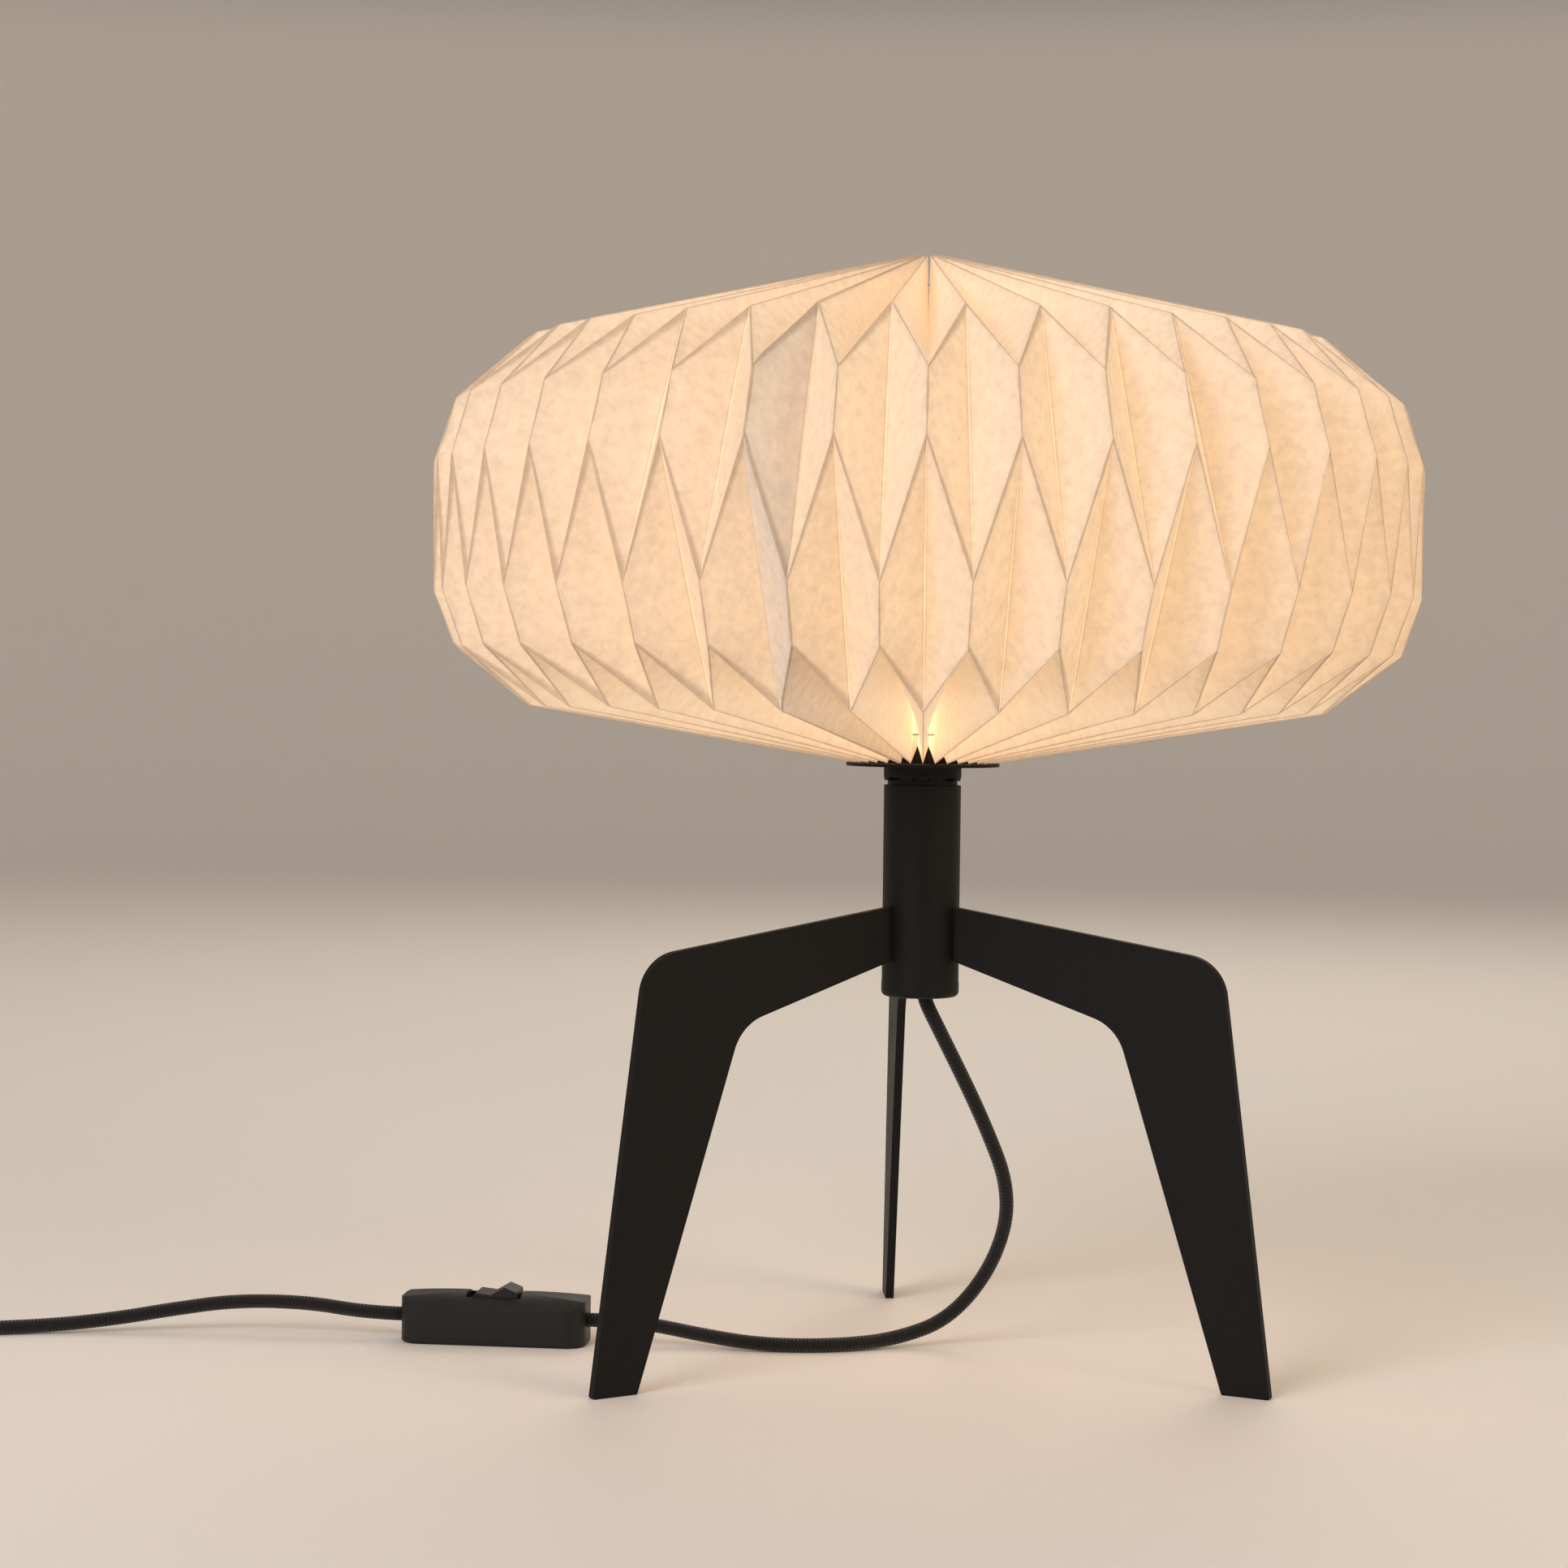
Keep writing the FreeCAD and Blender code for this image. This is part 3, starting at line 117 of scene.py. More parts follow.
def finished(bm, name, body, material):
    """Turn a bmesh into a piece that rides on a body."""
    mesh = bpy.data.meshes.new(name)
    bm.to_mesh(mesh)
    bm.free()
    mesh.materials.append(material)
    piece = bpy.data.objects.new(name, mesh)
    bpy.context.scene.collection.objects.link(piece)
    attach(piece, body)
    return piece


def sizes():
    return bpy.context.scene.paper_lamp_sizes


def colours():
    return bpy.context.scene.paper_lamp_colours


# ---------------------------------------------------------------- materials
def powder_coat(name, colour):
    """Matt polyester powder coat on steel: nearly black, dull, with a very fine orange peel."""
    material, tree = new_material(name)
    place = add(tree, "ShaderNodeTexCoord")
    peel = add(tree, "ShaderNodeTexNoise", {"Vector": place.outputs["Object"], "Scale": 1400.0, "Detail": 3.0})
    clouds = add(tree, "ShaderNodeTexNoise", {"Vector": place.outputs["Object"], "Scale": 55.0, "Detail": 2.0})
    tint = add(tree, "ShaderNodeMix", {"Factor": clouds.outputs["Fac"], "A": colour,
                                       "B": tuple(c * 1.5 for c in colour[:3]) + (1.0,)}, data_type="RGBA")
    dull = add(tree, "ShaderNodeMapRange", {"Value": clouds.outputs["Fac"], "To Min": 0.48, "To Max": 0.62})
    bump = add(tree, "ShaderNodeBump", {"Height": peel.outputs["Fac"], "Strength": 0.22, "Distance": 0.0002})
    coat = add(tree, "ShaderNodeBsdfPrincipled", {"Base Color": tint.outputs["Result"],
                                                  "Roughness": dull.outputs["Result"],
                                                  "Normal": bump.outputs["Normal"], "IOR": 1.5,
                                                  "Specular IOR Level": 0.22})
    add(tree, "ShaderNodeOutputMaterial", {"Surface": coat.outputs["BSDF"]})
    return material


def plated(name, colour, roughness, grain):
    """Plated or plain metal: a clean colour and a fine turned grain, which stretches the highlights."""
    material, tree = new_material(name)
    place = add(tree, "ShaderNodeTexCoord")
    squeeze = add(tree, "ShaderNodeMapping", {"Vector": place.outputs["Object"], "Scale": (60.0, 60.0, grain)})
    lines = add(tree, "ShaderNodeTexNoise", {"Vector": squeeze.outputs["Vector"], "Scale": 1.0, "Detail": 4.0})
    rough = add(tree, "ShaderNodeMapRange", {"Value": lines.outputs["Fac"], "To Min": roughness - 0.08,
                                             "To Max": roughness + 0.1})
    bump = add(tree, "ShaderNodeBump", {"Height": lines.outputs["Fac"], "Strength": 0.15, "Distance": 0.0001})
    metal = add(tree, "ShaderNodeBsdfPrincipled", {"Base Color": colour, "Metallic": 1.0,
                                                   "Roughness": rough.outputs["Result"],
                                                   "Normal": bump.outputs["Normal"]})
    add(tree, "ShaderNodeOutputMaterial", {"Surface": metal.outputs["BSDF"]})
    return material


def moulded(name, colour, roughness, grain):
    """Moulded ABS or thermoset: even colour with the fine spark-eroded grain of the mould."""
    material, tree = new_material(name)
    place = add(tree, "ShaderNodeTexCoord")
    spark = add(tree, "ShaderNodeTexVoronoi", {"Vector": place.outputs["Object"], "Scale": 1.0 / grain})
    patches = add(tree, "ShaderNodeTexNoise", {"Vector": place.outputs["Object"], "Scale": 120.0, "Detail": 2.0})
    rough = add(tree, "ShaderNodeMapRange", {"Value": patches.outputs["Fac"], "To Min": roughness - 0.05,
                                             "To Max": roughness + 0.07})
    bump = add(tree, "ShaderNodeBump", {"Height": spark.outputs["Distance"], "Strength": 0.25, "Distance": 0.0001})
    body = add(tree, "ShaderNodeBsdfPrincipled", {"Base Color": colour, "Roughness": rough.outputs["Result"],
                                                  "Normal": bump.outputs["Normal"], "IOR": 1.54,
                                                  "Specular IOR Level": 0.35})
    add(tree, "ShaderNodeOutputMaterial", {"Surface": body.outputs["BSDF"]})
    return material


def opal_glass(name, colour, glow, strength):
    """Opal diffuser of a lit bulb: milky and even, with a warm glow of its own."""
    material, tree = new_material(name)
    place = add(tree, "ShaderNodeTexCoord")
    milk = add(tree, "ShaderNodeTexNoise", {"Vector": place.outputs["Object"], "Scale": 90.0, "Detail": 2.0})
    gloss = add(tree, "ShaderNodeMapRange", {"Value": milk.outputs["Fac"], "To Min": 0.28, "To Max": 0.36})
    ball = add(tree, "ShaderNodeBsdfPrincipled", {"Base Color": colour, "Roughness": gloss.outputs["Result"],
                                                  "IOR": 1.49, "Emission Color": glow,
                                                  "Emission Strength": strength})
    add(tree, "ShaderNodeOutputMaterial", {"Surface": ball.outputs["BSDF"]})
    return material


def folded_paper(name, colour, crease, through, light, painted_glow_share):
    """Strong fibrous paper: matt and cloudy, lets the bulb's light through, and is darker along its creases, with
    painted shade beside them and a painted bright line along each dipping crease.

    The mesh carries the distance in millimetres to the dipping crease, the standing crease and the
    creases across. The paper also has a painted glow, an emission of its own that stands in for the light held
    between the pleats, stronger near both hubs."""
    material, tree = new_material(name)
    place = add(tree, "ShaderNodeTexCoord")
    clouds = add(tree, "ShaderNodeTexNoise", {"Vector": place.outputs["Object"], "Scale": 210.0, "Detail": 6.0,
                                              "Roughness": 0.68})
    fibres = add(tree, "ShaderNodeTexNoise", {"Vector": place.outputs["Object"], "Scale": 620.0, "Detail": 4.0,
                                              "Distortion": 1.6})
    cloudy = add(tree, "ShaderNodeMapRange", {"Value": clouds.outputs["Fac"], "From Min": 0.3, "From Max": 0.7,
                                              "To Min": 0.88, "To Max": 1.06})
    spot = add(tree, "ShaderNodeSeparateXYZ", {"Vector": place.outputs["Object"]})
    # Painted glow: the paper emits light of its own, most just under the bulb and near the top hub, standing in for
    # the light held between the pleats.
    under_bulb = add(tree, "ShaderNodeMapRange", {"Value": spot.outputs["Z"], "From Min": 0.318,
                                                  "From Max": 0.296, "To Min": 0.0, "To Max": 1.0},
                     interpolation_type="SMOOTHSTEP")
    over_bulb = add(tree, "ShaderNodeMapRange", {"Value": spot.outputs["Z"], "From Min": 0.43,
                                                 "From Max": 0.50, "To Min": 0.0, "To Max": 0.7},
                    interpolation_type="SMOOTHSTEP")
    hub_painted_glow_mask = add(tree, "ShaderNodeMath", {0: under_bulb.outputs["Result"], 1: over_bulb.outputs["Result"]},
                   operation="ADD")
    painted_glow = add(tree, "ShaderNodeMath", {0: hub_painted_glow_mask.outputs["Value"], 1: 0.22, 2: 0.17},
                 operation="MULTIPLY_ADD")
    painted_glow_here = add(tree, "ShaderNodeMath", {0: painted_glow.outputs["Value"], 1: painted_glow_share}, operation="MULTIPLY")
    standing = add(tree, "ShaderNodeAttribute", attribute_name="standing_mm")
    across = add(tree, "ShaderNodeAttribute", attribute_name="across_mm")
    dipping = add(tree, "ShaderNodeAttribute", attribute_name="dipping_mm")
    # A darker line along the standing creases and the creases across, with painted shade fading out to 5 mm beside
    # them.
    nearest = add(tree, "ShaderNodeMath", {0: standing.outputs["Fac"], 1: across.outputs["Fac"]},
                  operation="MINIMUM")
    ridge_line = add(tree, "ShaderNodeMapRange", {"Value": nearest.outputs["Value"], "From Min": 0.3,
                                                  "From Max": 1.25, "To Min": 0.8, "To Max": 0.0},
                     interpolation_type="SMOOTHSTEP")
    ridge_painted_shade = add(tree, "ShaderNodeMapRange", {"Value": nearest.outputs["Value"], "From Min": 0.6,
                                                  "From Max": 5.0, "To Min": 0.14, "To Max": 0.0})
    ridge = add(tree, "ShaderNodeMath", {0: ridge_line.outputs["Result"], 1: ridge_painted_shade.outputs["Result"]},
                operation="MAXIMUM")
    # Painted shade on both sides of the raised bead along the dipping crease.
    bead_side = add(tree, "ShaderNodeMapRange", {"Value": dipping.outputs["Fac"], "From Min": 0.7,
                                                 "From Max": 1.6, "To Min": 1.0, "To Max": 0.0})
    bead = add(tree, "ShaderNodeMapRange", {"Value": dipping.outputs["Fac"], "From Min": 0.45,
                                            "From Max": 0.9, "To Min": 1.0, "To Max": 0.0})
    bead_side_painted_shade = add(tree, "ShaderNodeMath", {0: bead_side.outputs["Result"], 1: bead.outputs["Result"]},
                    operation="SUBTRACT", use_clamp=True)
    crease_line_and_painted_shade = add(tree, "ShaderNodeMath", {0: bead_side_painted_shade.outputs["Value"], 1: 0.55, 2: ridge.outputs["Value"]},
               operation="MULTIPLY_ADD", use_clamp=True)
    crease_mark_strength = add(tree, "ShaderNodeMath", {0: crease_line_and_painted_shade.outputs["Value"], 1: 0.7}, operation="MULTIPLY")
    paper = add(tree, "ShaderNodeMix", {"Factor": crease_mark_strength.outputs["Value"], "A": colour, "B": crease},
                data_type="RGBA")
    # Painted highlight: the light through the paper is brighter along the dipping crease's bead.
    bead_painted_highlight = add(tree, "ShaderNodeMath", {0: bead.outputs["Result"], 1: 0.35, 2: 1.0},
                     operation="MULTIPLY_ADD")
    lit = add(tree, "ShaderNodeVectorMath", {0: light[:3], "Scale": bead_painted_highlight.outputs["Value"]},
              operation="SCALE")
    # Painted shade in the light through the paper: it is dimmed towards 0.4 of itself under the crease marks.
    pale = add(tree, "ShaderNodeMix", {"Factor": crease_mark_strength.outputs["Value"], "A": lit.outputs["Vector"],
                                       "B": tuple(c * 0.4 for c in light[:3]) + (1.0,)}, data_type="RGBA")
    shown = add(tree, "ShaderNodeVectorMath", {0: paper.outputs["Result"], "Scale": cloudy.outputs["Result"]},
                operation="SCALE")
    glowing = add(tree, "ShaderNodeVectorMath", {0: pale.outputs["Result"], "Scale": cloudy.outputs["Result"]},
                  operation="SCALE")
    surface = add(tree, "ShaderNodeMath", {0: bead.outputs["Result"], 1: 2.0, 2: clouds.outputs["Fac"]},
                  operation="MULTIPLY_ADD")
    relief = add(tree, "ShaderNodeMath", {0: fibres.outputs["Fac"], 1: 0.35, 2: surface.outputs["Value"]},
                 operation="MULTIPLY_ADD")
    bump = add(tree, "ShaderNodeBump", {"Height": relief.outputs["Value"], "Strength": 0.3, "Distance": 0.0003})
    # The face's emission is the painted glow.
    face = add(tree, "ShaderNodeBsdfPrincipled", {"Base Color": shown.outputs["Vector"], "Roughness": 0.85,
                                                  "Normal": bump.outputs["Normal"], "Sheen Weight": 0.12,
                                                  "Sheen Roughness": 0.5, "Specular IOR Level": 0.25,
                                                  "Emission Color": glowing.outputs["Vector"],
                                                  "Emission Strength": painted_glow_here.outputs["Value"]})
    back = add(tree, "ShaderNodeBsdfTranslucent", {"Color": glowing.outputs["Vector"],
                                                   "Normal": bump.outputs["Normal"]})
    both = add(tree, "ShaderNodeMixShader", {0: through, 1: face.outputs["BSDF"], 2: back.outputs["BSDF"]})
    add(tree, "ShaderNodeOutputMaterial", {"Surface": both.outputs["Shader"]})
    return material


def textile_braid(name, colour, strands, lay_length):
    """Braided rayon over a round cord: crossing helical strands, one over and one under, with painted shade in the
    low parts between them and a soft sheen.

    The tube's UV map holds the length along the cord in millimetres and the share of a turn."""
    material, tree = new_material(name)
    spread = add(tree, "ShaderNodeUVMap", uv_map="UVMap")
    parts = add(tree, "ShaderNodeSeparateXYZ", {"Vector": spread.outputs["UV"]})
    around = add(tree, "ShaderNodeMath", {0: parts.outputs["Y"], 1: float(strands)}, operation="MULTIPLY")
    along = add(tree, "ShaderNodeMath", {0: parts.outputs["X"], 1: strands / lay_length}, operation="MULTIPLY")
    right = add(tree, "ShaderNodeMath", {0: around.outputs[0], 1: along.outputs[0]}, operation="ADD")
    left = add(tree, "ShaderNodeMath", {0: around.outputs[0], 1: along.outputs[0]}, operation="SUBTRACT")
    crowns, floors = [], []
    for way in (right, left):
        turn = add(tree, "ShaderNodeMath", {0: way.outputs[0], 1: math.pi}, operation="MULTIPLY")
        wave = add(tree, "ShaderNodeMath", {0: turn.outputs[0]}, operation="SINE")
        crowns.append(add(tree, "ShaderNodeMath", {0: wave.outputs[0]}, operation="ABSOLUTE"))
        floors.append(add(tree, "ShaderNodeMath", {0: way.outputs[0]}, operation="FLOOR"))
    count = add(tree, "ShaderNodeMath", {0: floors[0].outputs[0], 1: floors[1].outputs[0]}, operation="ADD")
    over = add(tree, "ShaderNodeMath", {0: count.outputs[0], 1: 2.0}, operation="FLOORED_MODULO")
    height = add(tree, "ShaderNodeMix", {"Factor": over.outputs[0], "A": crowns[0].outputs[0],
                                         "B": crowns[1].outputs[0]})
    # Painted shade: the braid falls to a third of its colour where the strands run low.
    shade = add(tree, "ShaderNodeMix", {"Factor": height.outputs["Result"], "A": tuple(c * 0.35 for c in colour[:3])
                                        + (1.0,), "B": colour}, data_type="RGBA")
    bump = add(tree, "ShaderNodeBump", {"Height": height.outputs["Result"], "Strength": 0.7, "Distance": 0.0004})
    yarn = add(tree, "ShaderNodeBsdfPrincipled", {"Base Color": shade.outputs["Result"], "Roughness": 0.78,
                                                  "Normal": bump.outputs["Normal"], "Sheen Weight": 0.35,
                                                  "Sheen Roughness": 0.4, "Specular IOR Level": 0.3})
    add(tree, "ShaderNodeOutputMaterial", {"Surface": yarn.outputs["BSDF"]})
    return material


# ---------------------------------------------------------------- the cords
def beside_switch(side, distance=0.0):
    reach = side * (SWITCH_HALF + distance)
    x, y = SWITCH_CENTRE
    return (x + reach * math.cos(SWITCH_TURN), y + reach * math.sin(SWITCH_TURN), SWITCH_CORD_Z)


def behind_plug(distance):
    x, y = PLUG_AT
    return (x + distance * math.sin(PLUG_TURN), y - distance * math.cos(PLUG_TURN), PLUG_CORD_Z)


def coil_point(turns):
    """In on the lower layer, a climb of half a turn, and out on the upper one."""
    middle = COIL_TURNS / 2
    radius = COIL_OUTER - COIL_PITCH * (middle - abs(turns - middle))
    climb = min(max((turns - middle) / 0.5 + 0.5, 0.0), 1.0)
    angle = -math.pi / 2 - TAU * turns
    x, y = COIL_CENTRE
    return (x + radius * math.cos(angle), y + radius * math.sin(angle),
            FLOOR_Z + COIL_PITCH * climb * climb * (3 - 2 * climb))


LAMP_CORD = [
    (0.0, 0.0, 179.3),
    (0.0, 0.0, 168.6),
    (10.6, 1.6, 148.0),
    (29.5, 6.0, 110.5),
    (44.0, 14.0, 74.0),
    (38.0, 26.0, 41.0),
    (18.0, 31.5, 13.0),
    (-8.0, 26.0, FLOOR_Z + 0.6),
    (-36.0, 12.5, FLOOR_Z),
    (-70.0, 12.0, FLOOR_Z),
    (-97.0, 21.5, FLOOR_Z + 2.2),
    (-121.0, 25.2, 9.6),
    beside_switch(1, 14.0),
    beside_switch(1),
]
MAINS_CORD = [
    beside_switch(-1),
    beside_switch(-1, 18.0),
    (-284.0, 43.2, 14.8),
    (-318.0, 46.5, 14.6),
    (-347.0, 45.0, 10.6),
    (-373.0, 42.0, 6.4),
    (-402.0, 37.4, FLOOR_Z + 0.4),
    (-434.0, 30.0, FLOOR_Z),
    (-462.0, 21.5, FLOOR_Z),
    (-486.0, 17.0, FLOOR_Z),
]
MAINS_CORD += [coil_point(k / COIL_POINTS) for k in range(COIL_TURNS * COIL_POINTS + 1)]
MAINS_CORD += [(-532.5, 17.0, FLOOR_Z + COIL_PITCH), (-554.0, 21.0, 8.4),
               behind_plug(PLUG_REACH + 24.0), behind_plug(PLUG_REACH)]


def centreline(points):
    """Points along the NURBS spline through a route, in metres."""
    curve = bpy.data.curves.new("route", "CURVE")
    curve.dimensions = "3D"
    spline = curve.splines.new("NURBS")
    spline.points.add(len(points) - 1)
    for knot, place in zip(spline.points, points):
        knot.co = (*[c * MM for c in place], 1.0)
    spline.order_u = 3
    spline.use_endpoint_u = True
    curve.resolution_u = 8
    holder = bpy.data.objects.new("route", curve)
    bpy.context.scene.collection.objects.link(holder)
    mesh = bpy.data.meshes.new_from_object(holder)
    path = [v.co.copy() for v in mesh.vertices]
    bpy.data.objects.remove(holder)
    bpy.data.curves.remove(curve)
    bpy.data.meshes.remove(mesh)
    return path


def sleeve(path, radius, sides):
    """A round tube along a path, with its length and turn in the UV map."""
    bm = bmesh.new()
    spread = bm.loops.layers.uv.new("UVMap")
    ring = bmesh.ops.create_circle(bm, segments=sides, radius=radius)["verts"]
    number = {v: k for k, v in enumerate(ring)}
    edges = list(bm.edges)
    heading = (path[1] - path[0]).normalized()
    turn = Vector((0, 0, 1)).rotation_difference(heading).to_matrix().to_4x4()
    place = Matrix.Translation(path[0]) @ turn
    bmesh.ops.transform(bm, matrix=place, verts=ring)
    first, length = list(edges), 0.0
    for k in range(1, len(path)):
        ahead = path[min(k + 1, len(path) - 1)] - path[k - 1]
        swing = heading.rotation_difference(ahead.normalized()).to_matrix().to_4x4()
        step = (path[k] - path[k - 1]).length
        made = bmesh.ops.extrude_edge_only(bm, edges=edges)["geom"]
        verts = [g for g in made if isinstance(g, bmesh.types.BMVert)]
        edges = [g for g in made if isinstance(g, bmesh.types.BMEdge)]
        for v in verts:
            number[v] = next(number[e.other_vert(v)] for e in v.link_edges if e.other_vert(v) in number
                             and e.other_vert(v) not in verts)
        move = Matrix.Translation(path[k]) @ swing @ Matrix.Translation(-path[k - 1])
        bmesh.ops.transform(bm, matrix=move, verts=verts)
        fresh = set(verts)
        for face in (g for g in made if isinstance(g, bmesh.types.BMFace)):
            ways = [number[loop.vert] for loop in face.loops]
            wraps = max(ways) - min(ways) > 1
            for loop, way in zip(face.loops, ways):
                share = 1.0 if wraps and way == 0 else way / sides
                loop[spread].uv = ((length + (step if loop.vert in fresh else 0.0)) / MM, share)
            face.smooth = True
        heading, length = ahead.normalized(), length + step
    bmesh.ops.contextual_create(bm, geom=first)
    bmesh.ops.contextual_create(bm, geom=edges)
    bmesh.ops.recalc_face_normals(bm, faces=bm.faces)
    return bm, length


# ---------------------------------------------------------------- the folded shade
def fold_corner(line, place, slip=0.0):
    """A corner of the folds in metres, a little uneven as hand folding leaves it."""
    radius, height = (E_CORNERS if line % 2 == 0 else O_CORNERS)[place]
    angle = FRONT_FOLD + line * math.pi / PLEATS
    if 0 < place < 4:
        around = line % (2 * PLEATS)
        uneven = noise.noise_vector(Vector((around * 7.31, place * 3.17, 0.53))) * sizes().unevenness / MM
        radius += uneven.x
        height += uneven.y + slip
        angle += uneven.z / radius
    return Vector((math.sin(angle) * radius, -math.cos(angle) * radius, height)) * MM


def folded_sheet(first, last, lift=0.0, curl=0.0, slip=0.0):
    """A flat grid, folded between two fold lines. lift and curl raise it, and its free first edge."""
    columns, rows = (last - first) * PANEL_COLUMNS, sum(BAND_ROWS)
    bm = bmesh.new()
    bmesh.ops.create_grid(bm, x_segments=columns, y_segments=rows, size=1.0)
    layers = {key: bm.loops.layers.float.new(key) for key in ("dipping_mm", "standing_mm", "across_mm")}
    starts = [sum(BAND_ROWS[:k]) for k in range(len(BAND_ROWS) + 1)]
    place = {v: (round((v.co.x + 1) / 2 * columns), rows - round((v.co.y + 1) / 2 * rows)) for v in bm.verts}
    corners = {(line, k): fold_corner(line, k, slip) for line in range(first, last + 1) for k in range(6)}

    def on_line(line, row, band):
        share = (row - starts[band]) / BAND_ROWS[band]
        return corners[line, band].lerp(corners[line, band + 1], share)

    for v, (column, row) in place.items():
        panel = min(column // PANEL_COLUMNS, last - first - 1)
        share = column / PANEL_COLUMNS - panel
        band = max(k for k in range(5) if starts[k] <= min(row, rows - 1))
        v.co = on_line(first + panel, row, band).lerp(on_line(first + panel + 1, row, band), share)
    for face in bm.faces:
        spots = [place[loop.vert] for loop in face.loops]
        panel = min(column for column, row in spots) // PANEL_COLUMNS
        top = min(row for column, row in spots)
        band = max(k for k in range(5) if starts[k] <= top)
        even = (first + panel) % 2 == 0
        for loop, (column, row) in zip(face.loops, spots):
            share = column / PANEL_COLUMNS - panel
            own, other = on_line(first + panel, row, band), on_line(first + panel + 1, row, band)
            width = (other - own).length / MM
            from_e = width * (share if even else 1 - share)
            dips = from_e if VALLEY_ON_E[band] else width - from_e
            run = (corners[first + panel, band] - corners[first + panel, band + 1]).length / MM
            down = (row - starts[band]) / BAND_ROWS[band]
            near_top = down if 0 < band < 4 else 1.0
            near_foot = 1 - down if band < 3 else 1.0
            loop[layers["dipping_mm"]] = dips
            loop[layers["standing_mm"]] = width - dips
            loop[layers["across_mm"]] = min(near_top, near_foot) * run * 0.55
        face.smooth = True
    bm.normal_update()
    outward = sum(face.normal.dot(face.calc_center_median() - Vector((0, 0, 0.38))) for face in bm.faces)
    if outward < 0:
        bmesh.ops.reverse_faces(bm, faces=bm.faces)
        bm.normal_update()
    for v, (column, row) in place.items():
        share = (column % PANEL_COLUMNS) / PANEL_COLUMNS
        band = max(k for k in range(5) if starts[k] <= min(row, rows - 1))
        down = (row - starts[band]) / BAND_ROWS[band]
        belly = 16 * share * (1 - share) * down * (1 - down)
        swell = noise.noise(v.co * 38.0) * sizes().swell * belly
        free = max(0.0, 1 - column / PANEL_COLUMNS) ** 2
        v.co += v.normal * (swell + lift + curl * free)
    for edge in bm.edges:
        (a, i), (b, j) = place[edge.verts[0]], place[edge.verts[1]]
        on_fold = a == b and a % PANEL_COLUMNS == 0
        on_cross = i == j and i in starts[1:4]
        edge.smooth = not (on_fold or on_cross)
    return bm


# ---------------------------------------------------------------- settings
class PaperLampSizes(bpy.types.PropertyGroup):
    unevenness: bpy.props.FloatProperty(
        name="Unevenness", description="How far the folded corners wander from a perfect pattern",
        default=0.0009, min=0.0, max=0.004, unit="LENGTH", precision=5)
    swell: bpy.props.FloatProperty(
        name="Swell", description="How far the middle of a paper panel bows in or out",
        default=0.0007, min=0.0, max=0.003, unit="LENGTH", precision=5)
    lap_lift: bpy.props.FloatProperty(
        name="Lap Lift", description="Height of the glued lap over the sheet under it",
        default=0.0004, min=0.0002, max=0.002, unit="LENGTH", precision=5)
    lap_curl: bpy.props.FloatProperty(
        name="Lap Curl", description="How far the lap's free edge stands up",
        default=0.0009, min=0.0, max=0.003, unit="LENGTH", precision=5)
    braid_strands: bpy.props.IntProperty(
        name="Braid Strands", description="Strands round the cord, each way", default=14, min=6, max=32)
    bulb_glow: bpy.props.FloatProperty(
        name="Bulb Glow", description="Brightness of the lit bulb", default=30.0, min=0.0, max=200.0)


class PaperLampColours(bpy.types.PropertyGroup):
    paper: bpy.props.FloatVectorProperty(
        name="Paper", description="The paper by daylight", subtype="COLOR", size=4, min=0, max=1,
        default=linear("#F1E6D6"))
    # The crease colour is used for the darker crease lines and for the painted shade beside the creases.
    crease: bpy.props.FloatVectorProperty(
        name="Crease", description="The worn line of a crease", subtype="COLOR", size=4, min=0, max=1,
        default=linear("#B08E70"))
    paper_light: bpy.props.FloatVectorProperty(
        name="Light Through Paper", description="Colour of the light that the paper lets through",
        subtype="COLOR", size=4, min=0, max=1, default=linear("#F9E9D0"))
    coat: bpy.props.FloatVectorProperty(
        name="Coat", description="Powder coat of the stem and legs", subtype="COLOR", size=4, min=0, max=1,
        default=linear("#090807"))
    plastic: bpy.props.FloatVectorProperty(
        name="Plastic", description="Switch, plug and lampholder", subtype="COLOR", size=4, min=0, max=1,
        default=linear("#0F0C0B"))
    braid: bpy.props.FloatVectorProperty(
        name="Braid", description="The cord's textile cover", subtype="COLOR", size=4, min=0, max=1,
        default=linear("#15120F"))
    floor: bpy.props.FloatVectorProperty(
        name="Floor", description="Floor and backdrop", subtype="COLOR", size=4, min=0, max=1,
        default=linear("#EFE6DB"))


